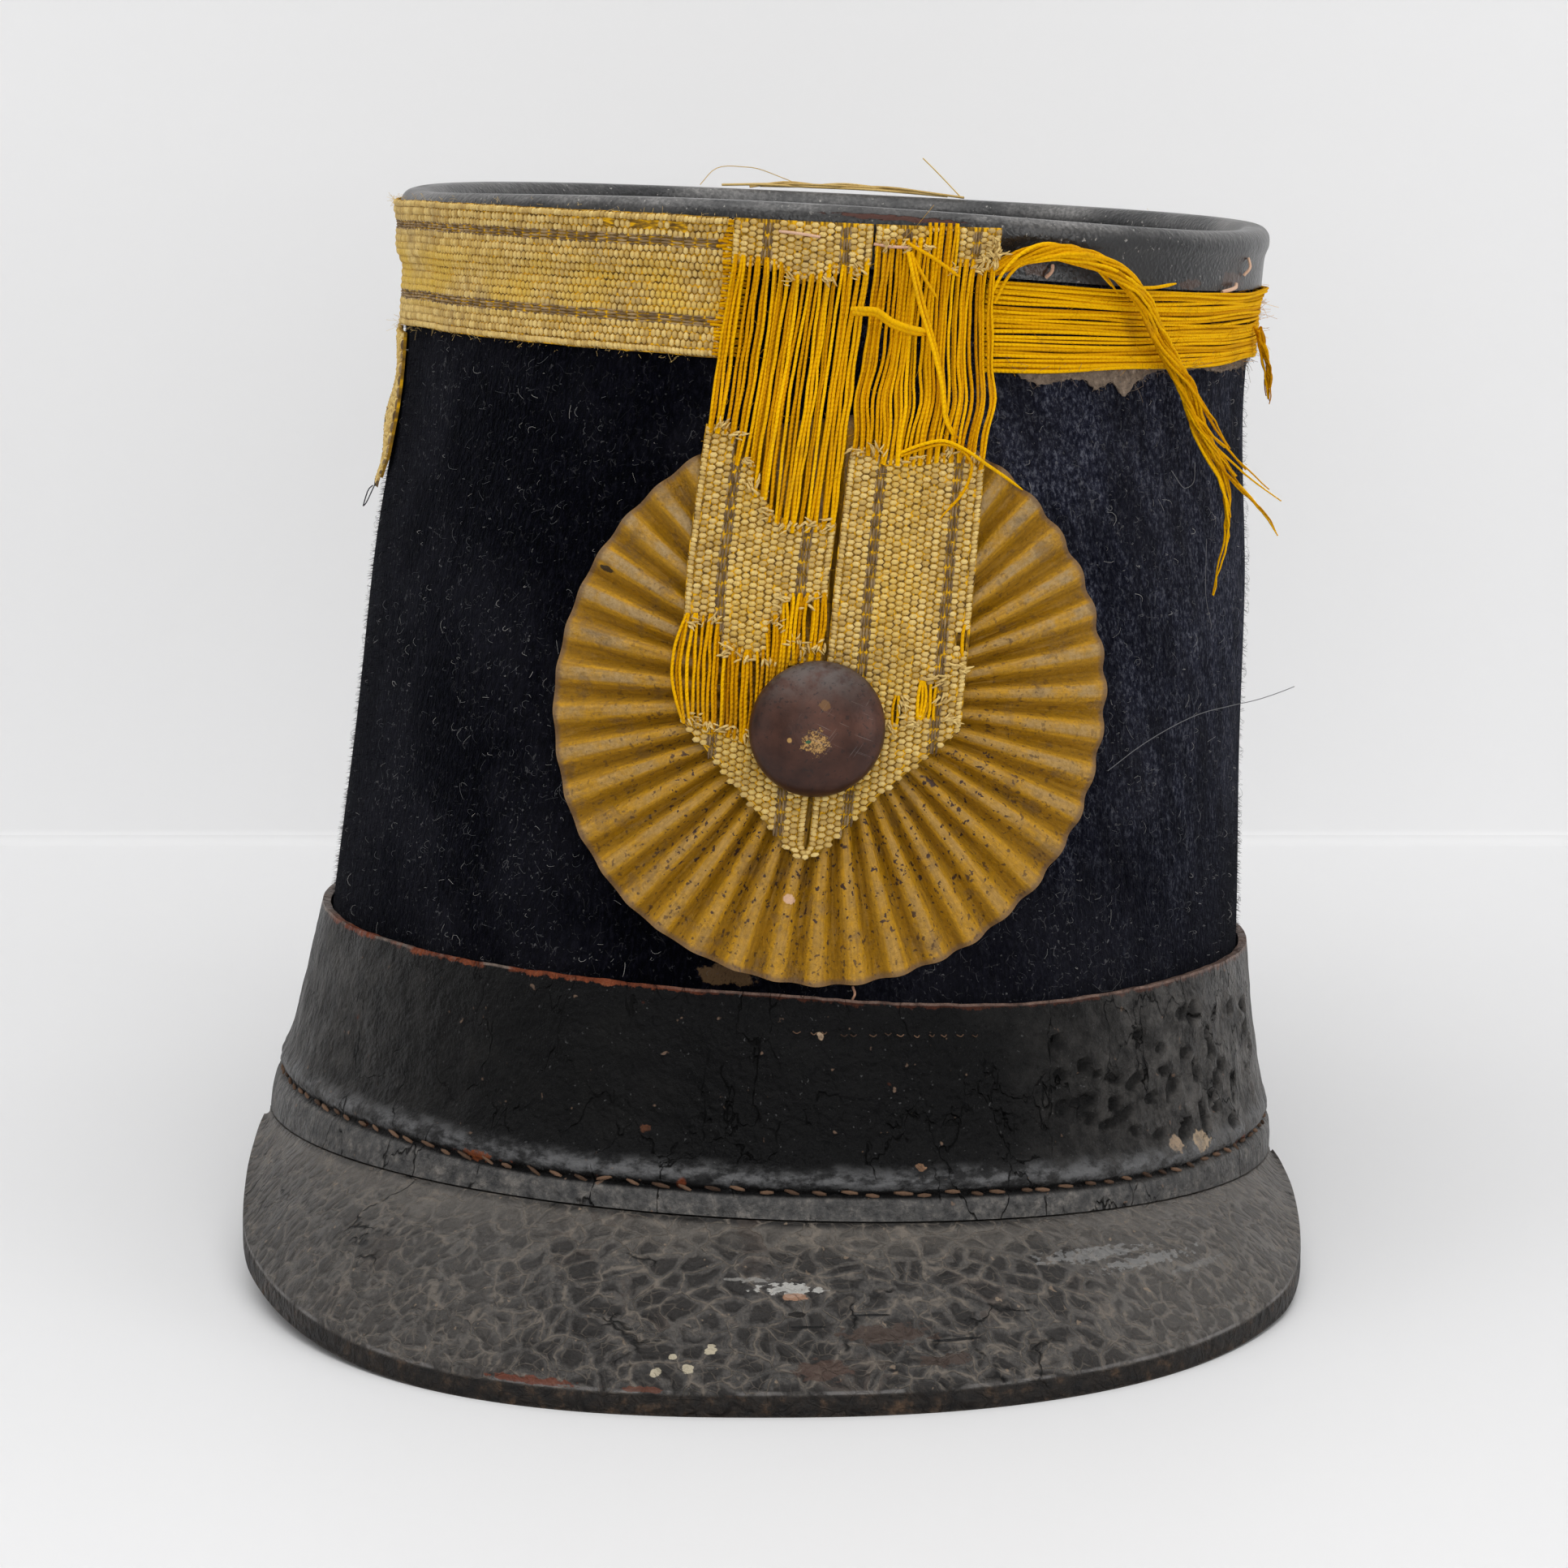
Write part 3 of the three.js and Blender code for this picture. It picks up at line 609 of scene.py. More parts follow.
def spot(flat, centre, half, seed_scale=1, ragged=0.35):
    """A soft-edged ragged spot on a millimetre map."""
    away = vectors("SUBTRACT", flat, (*centre, 0))[0]
    far = vectors("LENGTH", vectors("MULTIPLY", away, (1 / half[0], 1 / half[1], 0))[0])["Value"]
    rough = times(minus(noise(flat, seed_scale), 0.5), 4 * ragged)
    return fitted(plus(far, rough), 1.05, 0.85)


def attribute(space, name):
    return node(tree_of(space), "ShaderNodeAttribute", attribute_name=name).outputs["Fac"]


# %% Node groups
def new_group(name, inputs, outputs):
    """An empty node group, its inputs and its outputs. An input with no value is a vector."""
    tree = bpy.data.node_groups.new(name, "ShaderNodeTree")
    for socket, value in inputs.items():
        kind = "NodeSocketVector" if value is None else "NodeSocketFloat"
        made = tree.interface.new_socket(socket, in_out="INPUT", socket_type=kind)
        if value is not None:
            made.default_value = value
    for socket in outputs:
        tree.interface.new_socket(socket, in_out="OUTPUT", socket_type="NodeSocketFloat")
    given = tree.nodes.new("NodeGroupInput")
    return tree, given.outputs, tree.nodes.new("NodeGroupOutput").inputs


def use(group, **inputs):
    """A group placed in a material, with its own values."""
    return node(tree_of(*inputs.values()), "ShaderNodeGroup", inputs, node_tree=group).outputs


# %% Specks and patches
specks, given, result = new_group("specks", {"Vector": None, "Scale": 900, "Level": 0.64}, ["Mask"])
above = minus(noise(given["Vector"], given["Scale"], 2, 0.5), given["Level"])
join(times(above, 22, clamp=True), result["Mask"])

patches, given, result = new_group(
    "patches", {"Vector": None, "Scale": 30, "Level": 0.5, "Softness": 0.1}, ["Mask"]
)
broad = noise(given["Vector"], given["Scale"], 5, 0.62)
low, high = minus(given["Level"], given["Softness"]), plus(given["Level"], given["Softness"])
join(fitted(broad, low, high), result["Mask"])


def speckled(vector, scale, level):
    return use(specks, Vector=vector, Scale=scale, Level=level)["Mask"]


def patchy(vector, scale, level, softness):
    return use(patches, Vector=vector, Scale=scale, Level=level, Softness=softness)["Mask"]


# %% Dust on what faces up
dust, given, result = new_group("dust", {"Vector": None, "Scale": 60, "Amount": 0.5}, ["Mask"])
upward = part(node(dust, "ShaderNodeNewGeometry").outputs["Normal"], "Z")
cloudy = fitted(noise(given["Vector"], given["Scale"], 6, 0.65), 0.35, 0.7)
grains = fitted(noise(given["Vector"], 1600, 2), 0.3, 0.8)
amount = times(fitted(upward, 0, 0.9), cloudy, given["Amount"])
join(times(amount, plus(grains, 0.5), clamp=True), result["Mask"])


def dusty(vector, scale, amount):
    return use(dust, Vector=vector, Scale=scale, Amount=amount)["Mask"]


# %% Old leather: cells, cracks and lumps
old_leather, given, result = new_group(
    "old_leather", {"Vector": None, "Scale": 260, "Warp": 0.004, "Width": 0.06}, ["Crack", "Height", "Cell"]
)
lumps = node(old_leather, "ShaderNodeTexNoise", {"Vector": given["Vector"], "Scale": 140, "Detail": 3})
shift = vectors("SUBTRACT", lumps.outputs["Color"], (0.5, 0.5, 0.5))[0]
warped = vectors("ADD", given["Vector"], vectors("SCALE", shift, Scale=given["Warp"])[0])[0]
pattern = {"Vector": warped, "Scale": given["Scale"]}
cells = node(old_leather, "ShaderNodeTexVoronoi", pattern, feature="DISTANCE_TO_EDGE").outputs["Distance"]
each = node(old_leather, "ShaderNodeTexVoronoi", pattern)
thinned = times(given["Width"], fitted(noise(given["Vector"], 420, 3), 0.35, 0.65, 0.35, 1.6))
join(minus(1, maths("DIVIDE", cells, thinned), clamp=True), result["Crack"])
join(plus(fitted(cells, 0, 0.45), lumps.outputs["Fac"]), result["Height"])
join(part(each.outputs["Color"], "X"), result["Cell"])


def cells_of(vector, scale, warp, width):
    return use(old_leather, Vector=vector, Scale=scale, Warp=warp, Width=width)


print("shared effects:", [g.name for g in bpy.data.node_groups])

# %% [markdown]
# A material here always starts the same way: a Principled shader with its plain numbers set on its
# own sockets, and the coordinates that its pattern will follow. It ends by joining its colour, its
# relief and, where it varies, its roughness.

# %% Start and end of a material
def new_material(name, specular, roughness=0.5, **plain):
    """A material, its shader's inputs, and the Object and map coordinates."""
    material = bpy.data.materials.new(name)
    material.use_nodes = True
    shader = material.node_tree.nodes["Principled BSDF"].inputs
    shader["Specular IOR Level"].default_value, shader["Roughness"].default_value = specular, roughness
    for socket, value in plain.items():
        shader[socket.replace("_", " ")].default_value = value
    space = node(material.node_tree, "ShaderNodeTexCoord").outputs
    return material, shader, space["Object"], space["UV"]


def dress(shader, colour, height, distance, strength=1, roughness=None):
    """Joins the colour, a height with its depth in metres of relief, and the roughness."""
    join(colour, shader["Base Color"])
    relief = {"Height": height, "Distance": distance, "Strength": strength}
    join(node(tree_of(height), "ShaderNodeBump", relief).outputs["Normal"], shader["Normal"])
    if roughness is not None:
        join(roughness, shader["Roughness"])

# %% [markdown]
# ## Cloth body
# The cloth is dark navy wool over a stiff carcass, one wall from hem to rim and hollow below. It is
# cut as one sheet, wrapped once round the body and sewn where its ends meet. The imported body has
# flat facets; this one has the same ellipses, finely stepped, with the slight waves of a hand-made
# hat.

# %% Cloth body
CLOTH_THICKNESS, CLOTH_FOOT = 2.5, 1


def cloth_rule(u, v):
    angle = 360 * u - 180
    top = rim_height(angle) - CLOTH_TOP_DROP
    height = CLOTH_FOOT + (top - CLOTH_FOOT) * v
    around = np.radians(angle)
    ripple = wave_noise(3 * np.cos(around) + 0.012 * height, 3 * np.sin(around), 5, 3, 2.4)
    calm = smooth(v, 0, 0.3) * smooth(1 - v, 0.1, 0.3)
    return shell(angle, height, -0.12 + 0.28 * ripple * calm)


cloth = wrap(cut_sheet("wool_body", 216, 44), cloth_rule, (480, 158))
close_seam(cloth)
thicken(cloth, CLOTH_THICKNESS - 0.2)

# %% [markdown]
# Wool is dull and drinks light, and its short nap catches a little at the edges, which is what
# Sheen is for. The colour is three things: the near-black navy, the blue-grey of the side that
# light has worn, with its streaks running downwards, and pale lint caught in the nap.

# %% Wool material
def exposed(space):
    """The upper right of the cloth, which light and wear have paled."""
    return times(fitted(part(space, "X"), -0.02, 0.065), fitted(part(space, "Z"), 0.045, 0.12, 0.1, 1))


wool, shader, space, flat = new_material("navy_wool", 0.03, 1, Sheen_Weight=0.02, Sheen_Roughness=0.4)
shader["Sheen Tint"].default_value = (0.55, 0.6, 0.75, 1)
streaks = noise(stretched(space, (1500, 1500, 420)), 1, 3, 0.7)
smears = noise(stretched(tilted(space, (0, 0.35, 0)), (170, 170, 55)), 1, 4, 0.6)
rubbed = plus(patchy(space, 26, 0.5, 0.16), 0.55)
worn = times(rubbed, exposed(space), fitted(smears, 0.36, 0.64, 0.35, 1.1), clamp=True)
weave = noise(stretched(space, (700, 700, 700)), 1, 2)
ground = ramp(fitted(streaks, 0.3, 0.72),
              [(0, 0.0003, 0.0004, 0.001), (0.6, 0.001, 0.0011, 0.0028), (1, 0.0045, 0.0045, 0.0075)])
threads = noise(stretched(space, (1400, 1400, 900)), 1, 4, 0.75)
pale = ramp(fitted(threads, 0.34, 0.68),
            [(0, 0.003, 0.0034, 0.008), (0.6, 0.0195, 0.021, 0.034), (1, 0.09, 0.093, 0.115)])
drift = patchy(space, 34, 0.54, 0.12)
curls = times(cells_of(space, 380, 0.009, 0.02)["Crack"], patchy(space, 520, 0.53, 0.03), 0.75)
lint = times(greater(speckled(space, 1300, 0.68), curls), plus(times(drift, 0.6), 0.2))
ROUND_PER_DEGREE = 480 / 360
stain = spot(flat, (172.5 * ROUND_PER_DEGREE, 36.6), (4.6, 1.7), 0.5, 0.5)
colour = painted(
    ground, (worn, pale), (lint, (0.115, 0.112, 0.115)), (times(drift, 0.09), (0.055, 0.055, 0.07)),
    (times(stain, 0.8), (0.11, 0.066, 0.033)),
)
dress(shader, colour, plus(streaks, weave), 0.0007, 0.8)
finish(cloth, wool, ["cloth_body"])

# %% [markdown]
# The nap itself gives the cloth its soft outline. Each hair is a three-sided spike, modelled once
# as a cone and copied where the cloth shows, leaning down as brushed nap does. Paler lint fibres,
# short bent yarns, lie between them, most of them on the worn side.

# %% Nap and lint
def spike_template():
    deselect()
    bpy.ops.mesh.primitive_cone_add(vertices=3, radius1=0.5, radius2=0, depth=1,
                                    end_fill_type="NOTHING", location=(0, 0, 0.5))
    bpy.ops.object.transform_apply(location=True, rotation=False, scale=False)
    return template_of(bpy.context.object)


NAP_COUNT = 32000
LINT_COUNT = 2400
nap_angle = RNG.uniform(-180, 180, NAP_COUNT)
nap_height = RNG.uniform(33, 137, NAP_COUNT)
rubbed_off = (nap_angle > 18) & (nap_angle < 108) & (nap_height > 60) & (RNG.uniform(size=NAP_COUNT) < 0.7)
nap_angle, nap_height = nap_angle[~rubbed_off], nap_height[~rubbed_off]
NAP_COUNT = len(nap_angle)
seat, round_way, up_way, out_way = seats(shell, nap_angle, nap_height, -0.15)
lean = up_way * RNG.uniform(-1.1, 0.1, (NAP_COUNT, 1)) + round_way * RNG.normal(0, 0.35, (NAP_COUNT, 1))
hair = out_way * RNG.uniform(0.45, 1.1, (NAP_COUNT, 1)) + lean * 0.7
nap = scatter("wool_nap", spike_template(), seat, round_way * 0.09, up_way * 0.09, hair,
              RNG.uniform(0, 1, NAP_COUNT))

nap_paint, shader, space, _ = new_material("nap_hair", 0.1, 1)
tint = attribute(space, "tint")
dark = ramp(tint, [(0, 0.0005, 0.0006, 0.0016), (0.85, 0.0018, 0.002, 0.004), (1, 0.007, 0.007, 0.009)])
pale = ramp(tint, [(0, 0.003, 0.0033, 0.007), (0.6, 0.013, 0.014, 0.021), (1, 0.05, 0.05, 0.055)])
join(mixed(exposed(space), dark, pale), shader["Base Color"])
finish(nap, nap_paint)


def lint_path(angle, height, length, heading, bend):
    t = np.linspace(0, 1, 5)
    turn = heading + bend * t
    da = np.degrees(np.cumsum(np.cos(turn)) * length / 5 / 76)
    dh = np.cumsum(np.sin(turn)) * length / 5
    return shell(angle + da, height + dh, 0.25 + 0.45 * np.sin(np.pi * t))


pick = RNG.uniform(size=LINT_COUNT)
lint_angle = np.where(pick < 0.45, RNG.normal(48, 26, LINT_COUNT), RNG.uniform(-180, 180, LINT_COUNT))
lint_angle = np.where(pick > 0.7, RNG.normal(-38, 20, LINT_COUNT), lint_angle)
lint_rows = zip(lint_angle, RNG.uniform(36, 134, LINT_COUNT), RNG.gamma(1.8, 0.8, LINT_COUNT),
                RNG.uniform(-3.1, 3.1, LINT_COUNT), RNG.normal(0, 2.4, LINT_COUNT))
lint_yarn = tubes("lint", [lint_path(*row) for row in lint_rows],
                  RNG.uniform(0.012, 0.026, LINT_COUNT), 3)
lint_paint, shader, space, _ = new_material("grey_lint", 0.1, 1)
grey = [(0, 0.03, 0.031, 0.038), (0.75, 0.17, 0.17, 0.175), (1, 0.5, 0.485, 0.46)]
join(ramp(attribute(space, "tint"), grey), shader["Base Color"])
finish(lint_yarn, lint_paint)

# %% [markdown]
# ## Crown top
# The crown is one piece of thin black leather: a skirt on the cloth, a rolled rim, and a disc sunk
# inside it. A short table gives its section, from the skirt's edge over the roll and in to the
# middle. The sheet is wrapped along that section and its inner end is drawn together to a point.

# %% Crown top
CROWN_SECTION = np.array([
    # step, out from the cloth's face, drop below the rim
    (0, 1.3, 10),
    (1, 1.4, 5.5),
    (2, 2, 3),
    (3, 1.6, 1.1),
    (4, 0.2, 0.1),
    (5, -1.8, 0.1),
    (6, -3.5, 1.3),
    (7, -4.1, 3.4),
    (8, -4.1, 8.6),
])
DISC_SAG, DISC_START, DISC_MIDDLE = 1.2, 8, 11
DISC_CENTRE = np.array([SIDE_DRIFT * RIM_HEIGHT, CLOTH_SECTIONS[6, 3], RIM_HEIGHT - 8.6 - DISC_SAG])


def crown_rule(u, v):
    angle, step = 360 * u - 180, DISC_MIDDLE * v
    lump = 0.14 * round_noise(angle, 8 * step, 8, 3, 60) * smooth(step, 0.5, 2)
    out, drop = column(CROWN_SECTION, step, 1) + lump, column(CROWN_SECTION, step, 2)
    inward = np.clip((step - DISC_START) / (DISC_MIDDLE - DISC_START), 0, 1)[:, None]
    points = shell(angle, rim_height(angle) - drop, out) * (1 - inward) + DISC_CENTRE * inward
    points[:, 2] += 0.5 * wave_noise(points[:, 0], points[:, 1], 4, 3, 60) * inward[:, 0]
    return points


crown = wrap(cut_sheet("crown_leather_top", 200, 60), crown_rule, (480, 90))
close_seam(crown)
thicken(crown, 0.95)

# %% [markdown]
# The crown's leather is the smoothest on the hat: satin black, with fine grain, and pale dust on
# the rim. At the front the roll is torn and its raw red-brown edge shows; on one side the skirt has
# worn brown in three places. All these are found on the map: across is the way round, up is the way
# along the section.

# %% Crown leather material
CROWN_STEP = 90 / DISC_MIDDLE


def crown_spot(turn, step, half, pitch, ragged):
    return spot(flat, ((180 + turn) * ROUND_PER_DEGREE, step * CROWN_STEP), half, pitch, ragged)


satin, shader, space, flat = new_material("crown_leather", 0.4)
grain = cells_of(space, 900, 0.001, 0.05)["Height"]
clouds = noise(space, 45, 5, 0.6)
black = ramp(
    clouds, [(0.3, 0.009, 0.0095, 0.0105), (0.6, 0.016, 0.0162, 0.017), (0.75, 0.023, 0.0225, 0.022)]
)
settled = dusty(space, 48, 0.62)
torn = crown_spot(6.5, 2.75, (11.5, 2.2), 0.35, 0.55)
scuffed = crown_spot(6, 3, (17, 9), 0.25, 0.5)
colour = painted(
    black, (settled, (0.28, 0.27, 0.26)), (times(speckled(space, 1300, 0.69), 0.55), (0.42, 0.4, 0.37)),
    (torn, (0.12, 0.032, 0.016)), (times(scuffed, 0.5), (0.012, 0.011, 0.011)),
)
for turn, step, half in ((26, 0.35, (2.6, 2.2)), (53, 0.2, (3.4, 1.6)), (64.5, 0.35, (5.2, 3))):
    bare = crown_spot(turn, step, half, 0.45, 0.45)
    colour = mixed(times(bare, 0.85), colour, (0.05, 0.024, 0.014))
dull = plus(times(settled, 0.3), fitted(clouds, 0.3, 0.8, 0.24, 0.44))
relief = minus(plus(times(grain, 0.3), noise(space, 700, 3)), times(torn, 3))
dress(shader, colour, relief, 0.0003, 0.6, plus(dull, times(torn, 0.3), clamp=True))
finish(crown, satin, ["crown_top"], angle=70)

# %% [markdown]
# ## Hem band
# The band is one strip of black leather round the foot of the body. In front it turns out into a
# flange that laps the peak and is stitched to it; behind it stays close, and its hem drops to the
# table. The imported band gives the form, and the sheet here adds what years have done to the
# leather: a groove along the stitching, dents, burst blisters and a rough upper edge.

# %% Hem band
BAND_HEIGHT, BAND_THICKNESS, BAND_BODY_OUT, BAND_TOP_OUT, REAR_HEM = 35.5, 1.6, 2.15, 1.9, 3.2
DIP_ANGLE, DIP_DEPTH, DIP_SPREAD, FLANGE_TOP = 28, 1.6, 24, 27
FLANGE = np.array([
    # height, out at the sides, out in front
    (-5, 5.4, 5.5), (0, 5.3, 5.4), (3, 5.2, 5.3), (5.6, 4.7, 5), (7.6, 4.2, 4.1),
    (9.6, 3.75, 2.8), (12, 3.15, 2), (19, 1.8, 1.3), (26, 0.9, 0.8), (36, 0, 0),
])
STITCH_LINE = np.array([
    # angle, height
    (-95, 7.2), (-70, 6.6), (-48, 5.7), (-23, 4.3), (44, 4.3), (61, 5.1), (95, 6.2),
])


def stitch_height(angle):
    return column(STITCH_LINE, turned_in(angle), 1)


def flange_out(angle, height):
    away = np.abs(turned_in(angle))
    share = 1 - smooth(away, 95, 135)
    in_front = 1 - smooth(away, 30, 75)
    flare = column(FLANGE, height, 1) * (1 - in_front) + column(FLANGE, height, 2) * in_front
    return BAND_BODY_OUT + share * flare


def table_height(points):
    """The height in the straight frame at which a point's column meets the table."""
    lift = (BASE_LIFT - math.sin(LEAN_SIDE) * points[..., 0]) / math.cos(LEAN_SIDE)
    return (math.sin(LEAN_BACK) * points[..., 1] - lift) / math.cos(LEAN_BACK)


def band_height(u, v):
    angle = 360 * u - 180
    drop = -REAR_HEM * smooth(np.abs(turned_in(angle)), 88, 110)
    foot = shell(angle, drop, flange_out(angle, 0))
    low = np.maximum(drop, table_height(foot) + 0.25)
    away = (turned_in(angle) - DIP_ANGLE) / DIP_SPREAD
    top = BAND_HEIGHT - DIP_DEPTH * np.exp(-(away**2))
    top = top + 0.25 * round_noise(angle, 0 * angle, 12, 5, 16)
    return low + (top - low) * v


PIT_RNG = np.random.default_rng(34)
PITS = [
    # angle, height, half length, half height, turn
    (45.5, 19.5, 2.7, 1.3, 0.5), (48, 16.3, 1.6, 1.1, 0), (52.5, 17.8, 1.5, 2.2, 0.3),
    (57.5, 19, 1.2, 2.4, 0.2), (41, 13, 2.2, 0.9, 0.2), (36.5, 17.4, 1.8, 0.8, 0),
    (50, 24, 1.3, 0.9, 0), (61.5, 22.5, 1.1, 2, 0.4),
]
PIT_LIMITS = ((33, 78), (9, 30), (0.8, 1.8), (0.7, 2), (-1, 1))
PITS += [[PIT_RNG.uniform(*limits) for limits in PIT_LIMITS] for _ in range(46)]


def pitted(angle, height):
    """Depth of the burst blisters at each place, 0 to 1, and the swelling round them."""
    hollow, swelling = 0 * angle, 0 * angle
    for turn, high, half_long, half_high, slant in PITS:
        along, up = (angle - turn) * 1.45, height - high
        x = (along * math.cos(slant) + up * math.sin(slant)) / half_long
        y = (up * math.cos(slant) - along * math.sin(slant)) / half_high
        far = np.hypot(x, y)
        hollow = np.maximum(hollow, 1 - smooth(far, 0.55, 1.15))
        swelling = np.maximum(swelling, np.exp(-(((far - 1.35) / 0.35) ** 2)))
    return hollow, swelling * (1 - hollow)


def band_rule(u, v):
    angle, height = 360 * u - 180, band_height(u, v)
    foot_out = flange_out(angle, FLANGE_TOP)
    upper = foot_out + (BAND_TOP_OUT - foot_out) * (height - FLANGE_TOP) / (BAND_HEIGHT - FLANGE_TOP)
    out = np.where(height < FLANGE_TOP, flange_out(angle, np.maximum(height, 0)), upper)
    front = 1 - smooth(np.abs(turned_in(angle)), 90, 125)
    above = height - stitch_height(angle)
    groove = np.exp(-((above / 0.75) ** 2))
    crest = np.exp(-(((above - 2.3) / 1.4) ** 2))
    puckers = 0.3 * round_noise(angle, height, 32, 3, 6) * np.exp(-((above / 2.8) ** 2))
    dents = 0.28 * round_noise(angle, height, 31, 4, 22) + 0.1 * round_noise(angle, height, 33, 3, 6)
    calm = smooth(height, 7, 12) * smooth(BAND_HEIGHT - height, 0.5, 5)
    hollow, swelling = pitted(angle, height)
    out = out + front * (0.4 * crest - 0.75 * groove + puckers) + dents * calm - 0.12
    return shell(angle, height, out - 0.8 * hollow + 0.34 * swelling)


band = cut_sheet("hem_band_leather", 440, 60)
mark(band, "above_stitches", lambda u, v: band_height(u, v) - stitch_height(360 * u - 180))
mark(band, "to_top", lambda u, v: band_height(u, 0 * v + 1) - band_height(u, v))
mark(band, "way_round", lambda u, v: 360 * u - 180)
mark(band, "pit", lambda u, v: pitted(360 * u - 180, band_height(u, v))[0])
wrap(band, band_rule, (520, 38))
close_seam(band)
thicken(band, BAND_THICKNESS - 0.2)

# %% [markdown]
# Its leather is dull black, darker than the peak because it faces the room and not the lamp. Grey
# dust lies where it turns out and on its sides. The pale crest along the fold above the stitches is
# a painted highlight, and the burst blisters are painted darker inside as painted shade. The upper
# edge and the stitched fold have lost their black in places and show red-brown.
# The maps stored on the sheet tell the material how far it is from the stitches and the top.

# %% Band leather material
aged, shader, space, flat = new_material("band_leather", 0.08)
above, to_top = attribute(space, "above_stitches"), attribute(space, "to_top")
way_round, pit = attribute(space, "way_round"), attribute(space, "pit")
wander, fine, clouds = noise(space, 130, 4, 0.6), noise(space, 420, 5, 0.7), noise(space, 60, 5, 0.62)
splits = cells_of(stretched(space, (1.5, 1.5, 0.7)), 62, 0.012, 0.014)["Crack"]
split = times(splits, patchy(space, 48, 0.49, 0.05))
grain = cells_of(space, 520, 0.003, 0.06)["Height"]
ends = fitted(plus(positive(plus(way_round, 5)), times(clouds, 26)), 38, 94)
streaks = fitted(noise(stretched(space, (250, 250, 210)), 1, 6, 0.74), 0.36, 0.68, 0.2, 1)
# The grime is held back in the pits so that they stay dark: painted shade in the hollows.
grime = times(ends, streaks, fitted(pit, 0, 0.8, 1, 0.4), fitted(way_round, -50, 60, 0.55, 1))
# The crest is a painted highlight along the fold above the stitches, broken up by wrinkles.
wrinkles = fitted(noise(stretched(space, (230, 230, 520)), 1, 5, 0.66), 0.4, 0.62, 0.15, 1)
crest = times(within(plus(above, times(wander, 2.2)), 1.9, 4.6, 1.4), wrinkles)
lip = times(fitted(above, -0.5, -1.1), fitted(ends, 0.9, 0.2, 0.75, 1))
mottle = ramp(noise(space, 420, 6, 0.72),
              [(0.34, 0.036, 0.036, 0.037), (0.52, 0.082, 0.079, 0.076), (0.7, 0.18, 0.165, 0.15)])
torn_line = fitted(plus(positive(minus(above, 0.2)), times(fine, 2.4)), 1.9, 1.4)
raw = ramp(fine, [(0.35, 0.06, 0.045, 0.038), (0.6, 0.19, 0.145, 0.12)])
rust = ramp(fine, [(0.3, 0.05, 0.012, 0.006), (0.6, 0.17, 0.042, 0.016), (0.75, 0.24, 0.09, 0.04)])
where = times(fitted(way_round, -80, -68), fitted(way_round, -6, -20, 0.25, 1))
frayed = within(minus(to_top, times(fine, 2.6)), -2.2, -0.55, 0.12)
edge = within(plus(above, times(wander, 1.6)), 0.7, 1.5, 0.2)
black = ramp(
    clouds, [(0.3, 0.0014, 0.0014, 0.0016), (0.55, 0.003, 0.003, 0.0032), (0.75, 0.0075, 0.0073, 0.007)]
)
colour = painted(
    black, (grime, (0.118, 0.11, 0.102)), (crest, (0.11, 0.11, 0.112)), (lip, mottle),
    (times(torn_line, 0.85), (0.0025, 0.002, 0.002)), (times(split, 0.95), (0.0012, 0.0012, 0.0012)),
    (within(to_top, -0.5, 0.42, 0.12), raw), (times(frayed, patchy(space, 42, 0.39, 0.03), where), rust),
    (times(edge, patchy(space, 85, 0.62, 0.02)), rust), (speckled(space, 170, 0.745), rust),
    (times(speckled(space, 520, 0.72), 0.6), (0.2, 0.13, 0.09)),
    (times(speckled(space, 1500, 0.7), 0.6), (0.09, 0.09, 0.09)),
)
BAND_SPOTS = [
    # angle, height, half length and height, tone
    (51.5, 9.2, (1.6, 1.5), (0.3, 0.22, 0.15)), (56.5, 8.8, (2.4, 1.9), (0.36, 0.27, 0.18)),
    (-34, 5.7, (2.6, 0.9), (0.19, 0.05, 0.015)), (4, 31.5, (0.6, 0.6), (0.42, 0.3, 0.2)),
    (16, 9.3, (0.8, 0.6), (0.25, 0.14, 0.08)), (-15, 13.6, (1.1, 0.7), (0.09, 0.035, 0.018)),
]
for turn, high, half, tone in BAND_SPOTS:
    blot = spot(flat, ((180 + turn) * 520 / 360, high), half, 0.9, 0.55)
    colour = mixed(times(blot, fitted(fine, 0.35, 0.6, 0.35, 1)), colour, tone)
# Darker in the burst blisters: painted shade in the hollows.
colour = mixed(fitted(pit, 0.35, 0.9, 0, 0.4), colour, (0.004, 0.004, 0.004))
relief = plus(times(grain, 0.12), noise(space, 260, 5, 0.65), times(noise(space, 70, 2), 0.9))
relief = minus(plus(relief, times(fitted(fine, 0.3, 0.7), torn_line, 0.6)), times(split, 0.6))
dress(shader, colour, relief, 0.002, 0.9, fitted(clouds, 0.3, 0.75, 0.34, 0.55))
finish(band, aged, ["leather_band"])

# %% [markdown]
# The flange is sewn through the peak with brown thread, in stitches about three millimetres long
# that sit in the groove. Each stitch is a small dome, cut from a ball and drawn out lengthways.

# %% Flange stitches
def dome_template():
    """The upper part of a ball, to be sized and copied."""
    deselect()
    bpy.ops.mesh.primitive_uv_sphere_add(segments=6, ring_count=4, radius=1)
    ball = bpy.context.object
    edit(ball)
    bpy.ops.mesh.bisect(plane_co=(0, 0, -0.15), plane_no=(0, 0, 1), clear_inner=True)
    return template_of(leave_edit(ball))


DOME = dome_template()


def on_band(angle, height, lift):
    return shell(angle, height, flange_out(angle, height) - 0.75 + lift)


